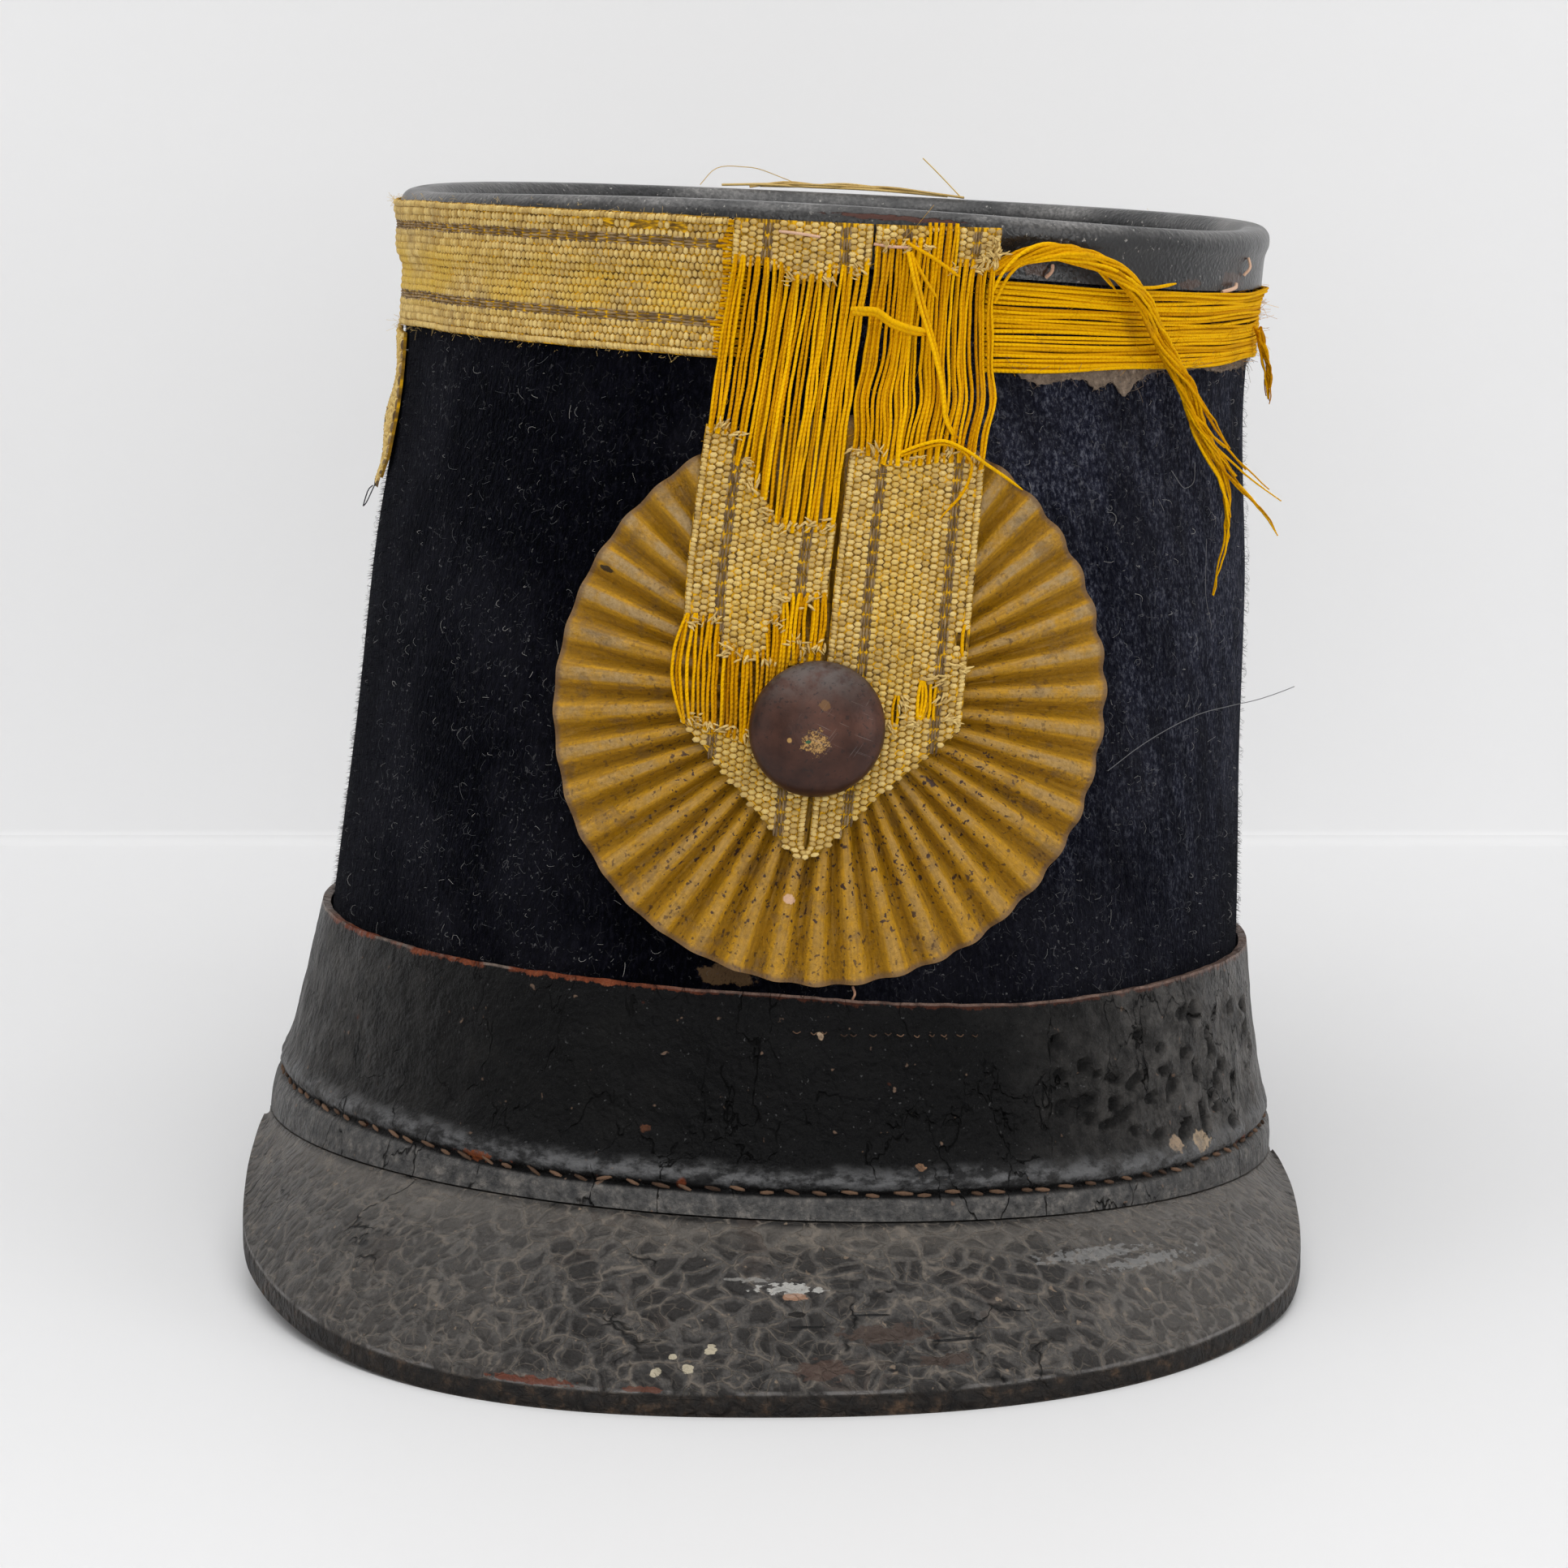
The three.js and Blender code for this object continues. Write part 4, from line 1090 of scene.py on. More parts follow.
stitch_angle = np.arange(-88, 88.1, 2.9)
STITCHES = len(stitch_angle)
stitch_angle = stitch_angle + RNG.normal(0, 0.25, STITCHES)
stitch_high = stitch_height(stitch_angle) + RNG.normal(0, 0.15, STITCHES)
seat, along, across_way, out_way = seats(on_band, stitch_angle, stitch_high, 0.05)
along = along + RNG.normal(-0.18, 0.14, (STITCHES, 1)) * across_way
stitches = scatter(
    "flange_stitches", DOME, seat, along * RNG.uniform(1.2, 2, (STITCHES, 1)), across_way * 0.4,
    out_way * RNG.uniform(0.35, 0.6, (STITCHES, 1)), RNG.uniform(0, 1, STITCHES),
)


def thread_material(name, low, high):
    """Twisted thread: two tones by stitch, and fibres along it."""
    material, shader, space, _ = new_material(name, 0.2, 0.9)
    fibre = noise(space, 2600, 2)
    tone = plus(times(attribute(space, "tint"), 0.6), times(fibre, 0.4))
    dress(shader, ramp(tone, [(0.1, *low), (0.9, *high)]), fibre, 0.0002)
    return material


brown_thread = thread_material("brown_thread", (0.02, 0.011, 0.007), (0.17, 0.1, 0.062))
finish(stitches, brown_thread, angle=80)

# %% [markdown]
# ## Peak
# The peak is one thick piece of leather with a round outer edge that rests on the table. Its inner
# edge is tucked under the flange. The sheet is wrapped all the way round its section, under, over
# the cut edge and back on top; its two long edges are bridged, and its ends closed with faces.

# %% Peak
PEAK_TUCK, PEAK_THICKNESS, PEAK_EDGE_HEIGHT, PEAK_BULGE, GAP = 3.5, 2.7, 4, 2.2, 0.3
EDGE_X, EDGE_Y, EDGE_HALF_WIDTH, EDGE_REACH, EDGE_POWER = 1.2, -15, 92.5, 102.1, 0.84
SEAM_ANGLE = 86
UNDER, CUT, TOP, TUCKED = 0.42, 0.08, 0.44, 0.06  # shares of the sheet's width
LIFT_ENDS = ((28, 9.5), (38, 4))  # left and right: turn at which it starts, and how much
DRAW_ENDS = ((70, 0.8), (62, 0.92))
STRAIGHTEN = (Matrix.Translation((0, 0, BASE_LIFT)) @ LEAN).inverted()


def peak_seam(turn, height, inset=0):
    angle = turn / 90 * SEAM_ANGLE
    points = shell(angle, 0, flange_out(angle, 0) - inset)
    points[..., 2] = height
    return points


def towards_end(turn, sides):
    """How far a turn is on its way to the peak's end, and how much its side changes there."""
    start, amount = (np.where(turn < 0, *pair) for pair in zip(*sides))
    return np.clip((np.abs(turn) - start) / (90 - start), 0, None), amount


def peak_edge(turn, rise):
    """The outer edge on the table, whose ends lift and draw in to the seam."""
    sine, cosine = np.sin(np.radians(turn)), np.cos(np.radians(turn))
    x = EDGE_X + EDGE_HALF_WIDTH * np.sign(sine) * np.abs(sine) ** EDGE_POWER - 2.2 * np.abs(cosine) ** 4
    y = EDGE_Y - EDGE_REACH * np.abs(cosine) ** EDGE_POWER
    along, lift = towards_end(turn, LIFT_ENDS)
    edge = turned(np.stack([x, y, lift * along**2 + rise], -1), STRAIGHTEN)
    end, share = towards_end(turn, DRAW_ENDS)
    pull = (share * end**2)[..., None]
    return edge * (1 - pull) + peak_seam(turn, rise - PEAK_EDGE_HEIGHT - GAP) * pull


def peak_top(turn, share):
    """The top from the seam out to the edge, and its normals."""
    inner, outer = peak_seam(turn, -GAP), peak_edge(turn, PEAK_EDGE_HEIGHT)
    beside = peak_seam(np.clip(turn + 2, -90, 90), -GAP) - peak_seam(np.clip(turn - 2, -90, 90), -GAP)
    normal = unit(np.cross(beside, outer - inner))
    normal *= np.where(normal[..., 2:] < 0, -1, 1)
    flatter = 1 - 1.2 * smooth(np.abs(turn), 48, 82)
    bulge = (PEAK_BULGE * flatter * np.sin(np.pi * share))[..., None]
    return inner + (outer - inner) * share[..., None] + normal * bulge, normal


def peak_rule(u, v):
    """v goes outwards underneath, up the cut edge, back on top and into the tuck."""
    turn = -90 + 180 * u
    under, up_edge = np.clip(v / UNDER, 0, 1), np.clip((v - UNDER) / CUT, 0, 1)
    over, tuck = np.clip((v - 0.5) / TOP, 0, 1), np.clip((v - 0.94) / TUCKED, 0, 1)
    top, normal = peak_top(turn, 1 - over)
    lumps = 0.22 * wave_noise(top[:, 0], top[:, 1], 21, 5, 16) * np.sin(np.pi * over) ** 0.5
    top = top + normal * lumps[:, None]
    below, normal = peak_top(turn, under)
    low_edge, high_edge = peak_edge(turn, 0), peak_edge(turn, PEAK_EDGE_HEIGHT)
    blend = smooth(under, 0.9, 1)[:, None]
    below = (below - normal * PEAK_THICKNESS) * (1 - blend) + low_edge * blend
    outward = unit((high_edge - peak_seam(turn, -GAP)) * (1, 1, 0))
    belly = 0.28 * np.sin(np.pi * up_edge) ** 0.6 - 0.3
    edge = low_edge + (high_edge - low_edge) * up_edge[:, None] + outward * belly[:, None]
    reached = [(v > 0.94)[:, None], (v > 0.5)[:, None], (v < UNDER)[:, None]]
    return np.select(reached, [peak_seam(turn, -GAP, PEAK_TUCK * tuck), top, below], edge)


PEAK_COLUMNS, PEAK_ROWS = 200, 100
PEAK_MAP = (230, 100)
peak = wrap(cut_sheet("peak_leather_shade", PEAK_COLUMNS, PEAK_ROWS), peak_rule, PEAK_MAP)
rows = np.arange(len(peak.data.vertices)) // (PEAK_COLUMNS + 1)
edit(peak, "VERT", (rows == 0) | (rows == PEAK_ROWS))
bpy.ops.mesh.select_mode(type="EDGE")
bpy.ops.mesh.bridge_edge_loops()
bpy.ops.mesh.select_all(action="DESELECT")
bpy.ops.mesh.select_non_manifold()
bpy.ops.mesh.fill_holes(sides=0)
bpy.ops.mesh.select_all(action="SELECT")
bpy.ops.mesh.normals_make_consistent(inside=False)
leave_edit(peak)

# %% [markdown]
# Its leather is the most worn of all. Where the black has crackled, thin brown lines run between
# small dark islands, and grey dust fills the rest; on the sides, most on the right, the grey is also
# a painted sheen. A near-black strip along the seam is a painted shadow under the flange. The
# islands come from the cell group at two scales; the cracks are drawn lighter than the islands,
# because they are bare leather. The cut edge keeps its black below and is rubbed brown above, and a
# few chips are quite pale.

# %% Peak leather material
crackled, shader, space, flat = new_material("peak_leather", 0.22)
up_map, way_round = part(flat, "Y"), part(flat, "X")
mirrored = node(tree_of(space), "ShaderNodeCombineXYZ", {
    "X": minus(0, positive(part(space, "X"))), "Y": part(space, "Y"), "Z": part(space, "Z"),
}).outputs[0]
swept = stretched(tilted(mirrored, (0, 0, -0.8)), (0.45, 1.5, 0.6))
drawn = stretched(space, (0.8, 1.2, 1))
islands, small = cells_of(drawn, 250, 0.006, 0.06), cells_of(drawn, 470, 0.004, 0.065)
clouds, grit, middling = noise(space, 42, 6, 0.66), noise(space, 1500, 3, 0.7), noise(space, 330, 5, 0.68)
near_seam = fitted(plus(up_map, times(clouds, 16)), 86, 102)
brown = times(fitted(islands["Cell"], 0.5, 0.6), patchy(space, 70, 0.57, 0.03))
sides = fitted(positive(minus(way_round, 122)), 22, 52, 0.25, 1)
islet = times(fitted(islands["Height"], 0.55, 0.92), fitted(clouds, 0.3, 0.44))
islet = times(islet, fitted(sides, 0.3, 1, 0.9, 0.5))
islet = greater(islet, times(fitted(small["Height"], 0.5, 0.95), sides, 0.55))
fine_lines = times(cells_of(swept, 420, 0.003, 0.075)["Crack"], sides, 0.12)
net = greater(fine_lines, times(islands["Crack"], fitted(sides, 0.3, 1, 1, 0.8)))
net = greater(net, times(small["Crack"], patchy(space, 60, 0.47, 0.08), 0.5))
net = times(net, fitted(patchy(space, 300, 0.45, 0.08), 0, 1, 0.15, 1))
splits = cells_of(stretched(space, (0.6, 1, 1)), 105, 0.01, 0.035)["Crack"]
split = times(splits, patchy(space, 52, 0.6, 0.03))
raw = ramp(
    middling, [(0.35, 0.005, 0.0045, 0.0045), (0.55, 0.017, 0.0125, 0.0095), (0.72, 0.08, 0.048, 0.028)]
)
chips = times(within(up_map, 49.4, 50.4, 0.3), patchy(space, 110, 0.48, 0.05), 0.7)
black = ramp(
    clouds, [(0.3, 0.018, 0.0178, 0.0185), (0.5, 0.03, 0.0285, 0.0278), (0.72, 0.053, 0.049, 0.0455)]
)
colour = painted(
    black, (fitted(middling, 0.46, 0.68, 0, 0.4), (0.09, 0.08, 0.071)),
    (fitted(grit, 0.38, 0.66, 0, 0.5), (0.11, 0.1, 0.09)), (times(near_seam, 0.55), (0.15, 0.132, 0.112)),
    # The near-black coat on the last strip of the top and the tuck is a painted shadow under the flange.
    (fitted(up_map, 91.6, 93.4), (0.004, 0.004, 0.004)), (times(brown, 0.6), (0.05, 0.034, 0.026)),
    # Grey on the sides, lighter towards the right: partly dust and partly a painted sheen.
    (times(sides, fitted(way_round, 100, 180, 0.5, 0.95)), (0.125, 0.115, 0.105)),
    (times(islet, fitted(near_seam, 0, 1, 1, 0.4)), (0.016, 0.0142, 0.0133)),
    (times(net, 0.9), (0.165, 0.14, 0.115)), (times(speckled(space, 620, 0.71), 0.6), (0.27, 0.2, 0.14)),
    (times(split, 0.95), (0.003, 0.003, 0.003)), (within(up_map, 42, 49.2, 0.7), raw),
    (chips, (0.19, 0.18, 0.175)),
)
CREAM, GREY = (0.5, 0.44, 0.32), (0.28, 0.28, 0.275)
BROWN, SLIT = (0.055, 0.036, 0.028), (0.003, 0.003, 0.003)
PEAK_MARKS = [
    # turn, share from seam to edge, half length and width, tone, strength, raggedness
    (1.8, 0.42, (2.8, 1.6), (0.5, 0.49, 0.46), 0.7, 1.1), (1.9, 0.47, (1.6, 1), (0.33, 0.18, 0.11), 0.8, 0.7),
    (2.2, 0.57, (0.9, 0.7), (0.004, 0.003, 0.003), 0.9, 0.4),
    (-1.2, 0.37, (2.2, 0.6), (0.3, 0.29, 0.27), 0.55, 1.1),
    (-8.1, 0.895, (0.7, 1.1), CREAM, 0.85, 0.4), (-5.4, 0.875, (0.65, 1.1), CREAM, 0.85, 0.4),
    (-6.9, 0.815, (0.5, 0.8), CREAM, 0.85, 0.4), (-3.9, 0.765, (0.65, 1.2), CREAM, 0.85, 0.6),
    (35, 0.31, (8, 1.9), GREY, 0.42, 1), (42, 0.42, (8, 1.6), GREY, 0.45, 1),
    (49, 0.54, (5, 1.2), (0.26, 0.26, 0.255), 0.25, 1),
    (-20, 0.985, (7, 0.9), (0.14, 0.035, 0.016), 0.8, 0.7),
    (-9, 0.99, (2.5, 0.8), (0.13, 0.04, 0.02), 0.7, 0.7),
    (4, 0.88, (2.6, 2.6), (0.07, 0.042, 0.032), 0.8, 0.6), (10, 0.69, (5, 2.4), BROWN, 0.8, 0.8),
    (15, 0.85, (3.6, 1.4), BROWN, 0.8, 0.8), (3, 0.64, (1.9, 0.35), SLIT, 0.95, 0.3),
    (16.6, 0.74, (3.6, 0.4), SLIT, 0.95, 0.3), (8.6, 0.58, (2.4, 0.3), SLIT, 0.95, 0.3),
]
for turn, share, half, tone, strength, ragged in PEAK_MARKS:
    centre = ((turn + 90) * PEAK_MAP[0] / 180, PEAK_MAP[1] * (0.5 + TOP * (1 - share)))
    colour = mixed(times(spot(flat, centre, half, 0.7, ragged), strength), colour, tone)
relief = plus(times(islands["Height"], 0.6), times(small["Height"], 0.3))
relief = minus(plus(relief, times(grit, 0.35), times(middling, 0.7), times(net, 0.3)), times(split, 0.7))
dress(shader, colour, relief, 0.0011, 0.9, fitted(clouds, 0.3, 0.75, 0.42, 0.68))
finish(peak, crackled, ["peak"], angle=60)

# %% [markdown]
# ## Braid
# The braid is 22 mm wide and weft-faced: short straw-coloured stitches of weft stand up like grains
# in offset columns, a brown-grey stripe runs near each edge, and a thin corded selvedge closes the
# sides. Yellow warp shows wherever the weft has moved or gone. Each stitch is a real dome, because
# its shadow is what makes the braid look coarse. `weave` lays out one stretch of braid, and it
# serves the round band, the front loop and the torn end at the side.

# %% Weave layout
COLUMN_KINDS = "s" + "c" * 3 + "t" + "c" * 9 + "t" + "c" * 2 + "s"  # selvedge, grains, stripe
COLUMNS = len(COLUMN_KINDS)
GRAIN_PITCH, STRIPE_PITCH, SELVEDGE_PITCH = 1, 2, 0.72


def weave(length, width, there):
    """Stitches of a stretch of braid as rows (s, w, half length, half width, height, tilt, kind).
    there(s, w) says where the weft still is. w runs across the braid."""
    rows, pitch = [], width / COLUMNS

    def lay(s, w, *sizes):
        rows.append(np.column_stack([s, *(np.full(len(s), value) for value in (w, *sizes))]))

    for i, kind in enumerate(COLUMN_KINDS):
        w = (i + 0.5) * pitch
        if kind == "c":
            start = 0.5 * GRAIN_PITCH * (i % 2)
            lay(np.arange(start, length, GRAIN_PITCH), w, 0.5, 0.62 * pitch, 0.46, 0, 0)
        elif kind == "s":
            slant = 0.5 if i == 0 else -0.5
            lay(np.arange(0, length, SELVEDGE_PITCH), w, 0.46, 0.52 * pitch, 0.5, slant, 0)
        else:
            for strand in (-0.6, -0.2, 0.2, 0.6):
                s = np.arange(0, length, STRIPE_PITCH) + RNG.uniform(-0.08, 0.08)
                lay(s, w + strand * pitch, 1.06, 0.24, 0.4, 0, 1)
    rows = np.concatenate(rows)
    rows[:, 0] += RNG.normal(0, 0.05, len(rows))
    rows[:, 1] += RNG.normal(0, 0.04, len(rows))
    rows[:, 4] *= RNG.uniform(0.8, 1.15, len(rows))
    return rows[there(rows[:, 0], rows[:, 1])]


def weft(name, rows, place, lift):
    """The stitches themselves, sitting on the sheet that place describes."""
    s, w, half_s, half_w, high, tilt, kind = rows.T
    seat, along, across_way, out_way = seats(place, s, w, lift)
    cosine, sine = np.cos(tilt)[:, None], np.sin(tilt)[:, None]
    along, across_way = along * cosine + across_way * sine, across_way * cosine - along * sine
    tints = RNG.uniform(0, 1, len(rows)) + 2 * kind
    return scatter(name, DOME, seat, along * half_s[:, None], across_way * half_w[:, None],
                   out_way * high[:, None], tints, np.column_stack([s, w]))


# %% [markdown]
# The weft's colour is a dirty straw that varies from stitch to stitch, yellower along the middle
# where it is less handled, and greyer in smudges. `tint` runs from 0 to 1 on the straw stitches
# and from 2 to 3 on the stripes, so one material paints both.

# %% Braid materials
def weft_material(name, yellow_middle, stripe_dirt):
    material, shader, space, flat = new_material(name, 0.2, 0.95, Sheen_Weight=0.1)
    tint = attribute(space, "tint")
    straw = ramp(tint, [(0, 0.5, 0.33, 0.1), (0.4, 0.66, 0.46, 0.15), (1, 0.8, 0.6, 0.23)])
    stripe = ramp(minus(tint, 2), [(0, 0.14, 0.085, 0.04), (0.5, 0.26, 0.17, 0.083), (1, 0.42, 0.29, 0.14)])
    stripe = mixed(stripe_dirt, stripe, (0.07, 0.042, 0.018))
    from_middle = positive(minus(part(flat, "Y"), 9.5))
    yellow = times(fitted(from_middle, 7, 2), fitted(noise(space, 90, 4), 0.35, 0.6), yellow_middle)
    smudge = times(patchy(space, 85, 0.6, 0.08), 0.45)
    colour = painted(straw, (yellow, (0.74, 0.49, 0.07)), (smudge, (0.3, 0.2, 0.1)),
                     (maths("GREATER_THAN", tint, 1.5), stripe))
    fibre = noise(space, 3600, 2)
    colour = mixed(fitted(fibre, 0.25, 0.75, 0.25, 0), colour, (0.2, 0.12, 0.04), "MULTIPLY")
    dress(shader, colour, fibre, 0.00012, 0.8)
    return material


def ground_material(name, run):
    """The warp under the weft: yellow in places, dark in the rest."""
    material, shader, _, flat = new_material(name, 0.2, 0.95)
    tint = noise(stretched(flat, run), 1, 2)
    colour = ramp(tint, [(0.35, 0.1, 0.055, 0.015), (0.52, 0.32, 0.17, 0.012), (0.62, 0.75, 0.4, 0.008)])
    dress(shader, colour, tint, 0.0002)
    return material


band_weft, loop_weft = weft_material("round_weft", 0.75, 0), weft_material("loop_weft", 0.35, 0.25)
braid_ground = ground_material("round_ground", (0.5, 2, 1))
loop_ground_paint = ground_material("loop_ground_paint", (2, 0.5, 1))

# %% [markdown]
# ### The band round the top
# The band lies on the cloth, climbs on the crown's skirt and ends close under the roll. Its length
# is measured round the body, so the stitches keep their size on the flat sides and on the tight
# front alike. Just before the loop the weft has come away in steps, and the yellow warp runs on
# bare.

# %% Round braid
BRAID_WIDTH = 21.6
BRAID_EDGES = np.array([
    # angle, low edge, high edge
    (-236, 133.5, 155.5), (-200, 132.6, 154.9), (-150, 132.4, 154.7), (-105, 133.6, 155.3),
    (-75, 135.6, 156.8), (-50, 136.3, 158.3), (-14, 136.4, 159.2),
])
CLIMB = np.array([(-80, 0.3), (-13, 0.3), (-10.2, 1.6), (-5.5, 1.7), (-3.3, 2.3), (9, 2.3)])
ARC_ANGLE = np.linspace(-236, -12.6, 400)
arc_steps = np.linalg.norm(np.diff(shell(ARC_ANGLE, 146, 1.5), axis=0), axis=1)
ARC_LENGTH = np.concatenate([[0], np.cumsum(arc_steps)])
BAND_LENGTH = ARC_LENGTH[-1]


def braid_height(angle, w):
    """The height at which a place on the band lies, w across it."""
    low, high = column(BRAID_EDGES, angle, 1), column(BRAID_EDGES, angle, 2)
    return low + (high - low) * w / BRAID_WIDTH


def climb(angle, height):
    """How far the band's ground stands out, on the cloth or on the crown's skirt."""
    return straight(CLIMB, height - rim_height(angle))


def round_place(s, w, lift):
    angle = np.interp(s, ARC_LENGTH, ARC_ANGLE)
    height = braid_height(angle, w)
    height = height + 0.18 * wave_noise(s, 0 * height, 61, 3, 30)
    return shell(angle, height, climb(angle, height) + lift)


END_STEPS = np.array([
    # across the band, how far short of its end the weft stops
    (0, 2.2), (2, 2), (4.6, 2.2), (5.4, 3.6), (6.2, 1.6), (14, 1), (16.6, 1.1), (17.4, 2.6), (18.2, 1.2),
    (20, 0.5), (22, 0.2),
])
BARE_BARS = ((8.5, 11.5), (14, 18.5), (22, 23.5))


def weft_on_band(s, w):
    from_end = BAND_LENGTH - s
    lost = wave_noise(s / 3, w / 1.6, 77, 3, 3.5) > 1.06
    for first, last in BARE_BARS:
        lost |= (w > 19.2) & (w < 20.6) & (from_end > first) & (from_end < last)
    return ~(lost | (from_end < straight(END_STEPS, w) + 0.4 * np.sin(7 * w)))


ground = wrap(
    cut_sheet("round_braid_ground", 300, 20),
    lambda u, v: round_place(u * (BAND_LENGTH - 2), BRAID_WIDTH * v, 0.42),
    (BAND_LENGTH, BRAID_WIDTH),
)
thicken(ground, 0.36)
finish(ground, braid_ground, ["woven_braid"])
rows = weave(BAND_LENGTH, BRAID_WIDTH, weft_on_band)
band_stitches = finish(weft("round_braid_weft", rows, round_place, 0.38), band_weft, angle=80)

# %% [markdown]
# ### The front loop
# The loop is two widths of the same braid side by side, with a slit between them, folded to a
# point below the button. Its table gives both widths' edges at each height. The weft survives in
# patches, whose stepped edges are given across each width, from its left edge at 0 to its right
# edge at 1. Between the patches only warp is left.

# %% Front loop
LOOP = np.array([
    # height, left, left of slit, right of slit, right, out
    (57.7, 1.2, 3.4, 2.2, 4.4, 3.8), (59.6, -0.6, 2.5, 3.3, 6.2, 3.8), (68, -8.4, 3, 3.8, 14.4, 3.8),
    (78.9, -18.3, 3.6, 4.4, 27.2, 3.8), (90, -18.5, 4.3, 5.1, 27.8, 3.8),
    (103.6, -18.2, 5, 5.8, 28.5, 3.8), (119, -16.8, 6.4, 7, 29.2, 4), (129.5, -15.7, 7.5, 7.9, 29.8, 4),
    (135, -15.1, 8.1, 8.5, 30.1, 1.9), (147, -13.6, 9.2, 9.6, 29.7, 1.9),
    (150.5, -13.2, 9.5, 9.9, 29.8, 2.9), (158.2, -12.9, 9.7, 10.1, 30.6, 3), (160, -12.9, 9.7, 10.1, 30.6, 3),
])
POINT_FOLD, TIN_TOP, COCKADE_ACROSS, COCKADE_BEND, BODY_RADIUS = 78.9, 135, 5.5, 120, 70
LOOP_FOOT, LOOP_HEAD = 57.7, 159.2
LOOP_SPAN = LOOP_HEAD - LOOP_FOOT
FLATNESS = (1 / BODY_RADIUS - 1 / COCKADE_BEND) / 2
loop_row = partial(straight, LOOP)


def on_loop(across, height, lift=0):
    """A point of the loop from its place across the hat."""
    across, height = np.broadcast_arrays(np.asarray(across, float), np.asarray(height, float))
    lies_on_tin = np.clip((TIN_TOP - height) / 5.5, 0, 1)
    out = loop_row(height, 5) + lies_on_tin * FLATNESS * (across - COCKADE_ACROSS) ** 2 + lift
    half_width, half_length = column(CLOTH_SECTIONS, height, 1), column(CLOTH_SECTIONS, height, 2)
    reach = half_width + out * half_length / half_width
    angle = np.degrees(np.arcsin(np.clip((across - SIDE_DRIFT * height) / reach, -1, 1)))
    return shell(angle, height, out)


def strip_across(side, share, height):
    """Across the hat, from a share across one width. Below the fold the width keeps its size, and
    its outer columns run out over the folded edge."""
    full = np.maximum(height, POINT_FOLD)
    if side == "left":
        return loop_row(height, 2) - (1 - share) * (loop_row(full, 2) - loop_row(full, 1))
    return loop_row(height, 3) + share * (loop_row(full, 4) - loop_row(full, 3))


def inside_fold(side, share, height):
    across = strip_across(side, share, height)
    return (across >= loop_row(height, 1) - 0.2) & (across <= loop_row(height, 4) + 0.2)


print("loop, mm from foot to head:", round(LOOP_SPAN, 1))

# %% Where the loop's weft is left
# Each edge is given by its rows of (share across, height).
LEFT_TOP = ((0, 152), (0.3, 151.6), (0.44, 150), (0.5, 149.3), (0.65, 149.5), (0.72, 151.3),
            (0.9, 150.7), (1, 152.6))
LEFT_HIGH = ((0, 126), (0.2, 126), (0.23, 121.2), (0.37, 120.6), (0.39, 116.2), (0.5, 115.8), (0.52, 112.3),
             (0.62, 111.9), (0.64, 110.6), (1, 111.2))
LEFT_LOW = ((0, 94.3), (0.24, 94.4), (0.28, 90.3), (0.44, 88.9), (0.6, 89.2), (0.61, 94.6), (0.69, 94.8),
            (0.7, 98.2), (1, 98.6))
LEFT_KNOT = ((0.76, 91.6), (1, 91.4))
LEFT_FOOT = ((0, 79.8), (0.15, 78.8), (0.27, 78.2), (0.38, 77.6), (0.5, 76.8), (0.62, 76), (1, 88))
RIGHT_TOP = ((0, 154.2), (0.1, 155.4), (0.41, 156), (0.42, 158.4), (0.66, 158.4), (0.68, 152.7), (1, 152.6))
RIGHT_HIGH = ((0, 123.5), (0.17, 123.5), (0.24, 122.2), (0.45, 122), (0.66, 122.8), (0.86, 122.9), (1, 121.2))
KNOT_SHARE, KNOT_FOOT = 0.76, 88
NOTCHES = (
    # share across, height, half width, half height
    (0.52, 81.4, 0.045, 2.2), (0.69, 83.4, 0.03, 2.6), (0.775, 83.4, 0.03, 2.6), (0.945, 93, 0.03, 1.6),
)


def edge_height(edge, share):
    return straight(np.array(edge), share)


def woven_left(share, height):
    patch = (height < edge_height(LEFT_HIGH, share)) & (height > edge_height(LEFT_LOW, share))
    knot = (share > KNOT_SHARE) & (height < edge_height(LEFT_KNOT, share)) & (height > KNOT_FOOT)
    foot = height < edge_height(LEFT_FOOT, share)
    return (height > edge_height(LEFT_TOP, share)) | patch | knot | foot


def woven_right(share, height):
    patch = height < edge_height(RIGHT_HIGH, share)
    for middle, high, half, half_high in NOTCHES:
        patch &= ~((np.abs(share - middle) < half) & (np.abs(height - high) < half_high))
    return (height > edge_height(RIGHT_TOP, share)) | patch


WOVEN = {"left": woven_left, "right": woven_right}


# %% Ground of the loop
def loop_ground(side):
    """The ground under one width's weft: a sheet cut away where the weft is gone, then wrapped."""
    first, last = (1, 2) if side == "left" else (3, 4)

    def place(u, v):
        height = LOOP_FOOT + LOOP_SPAN * v
        return loop_row(height, first) + u * (loop_row(height, last) - loop_row(height, first)), height

    def keep(u, v):
        across, height = place(u, v)
        full = np.maximum(height, POINT_FOLD)
        width = loop_row(full, last) - loop_row(full, first)
        if side == "left":
            share = 1 - (loop_row(height, last) - across) / width
        else:
            share = (across - loop_row(height, first)) / width
        return WOVEN[side](share, height)

    sheet = keep_where(cut_sheet("loop_ground_" + side, 44, 190), keep)
    wrap(sheet, lambda u, v: on_loop(*place(u, v), 0.55), (22, LOOP_SPAN))
    return thicken(sheet, 0.5)


loop_sheets = [loop_ground(side) for side in WOVEN]
work_on(loop_sheets[0])
loop_sheets[1].select_set(True)
bpy.ops.object.join()
finish(loop_sheets[0], loop_ground_paint, ["front_loop"])
loop_sheets[0].name = "loop_ground"


# %% Weft of the loop
def loop_place(side):
    """Where one width's stitches lie: s runs up the loop, w from its left edge to its right."""
    def place(s, w, lift):
        return on_loop(strip_across(side, w / BRAID_WIDTH, LOOP_FOOT + s), LOOP_FOOT + s, 0.5 + lift)

    return place


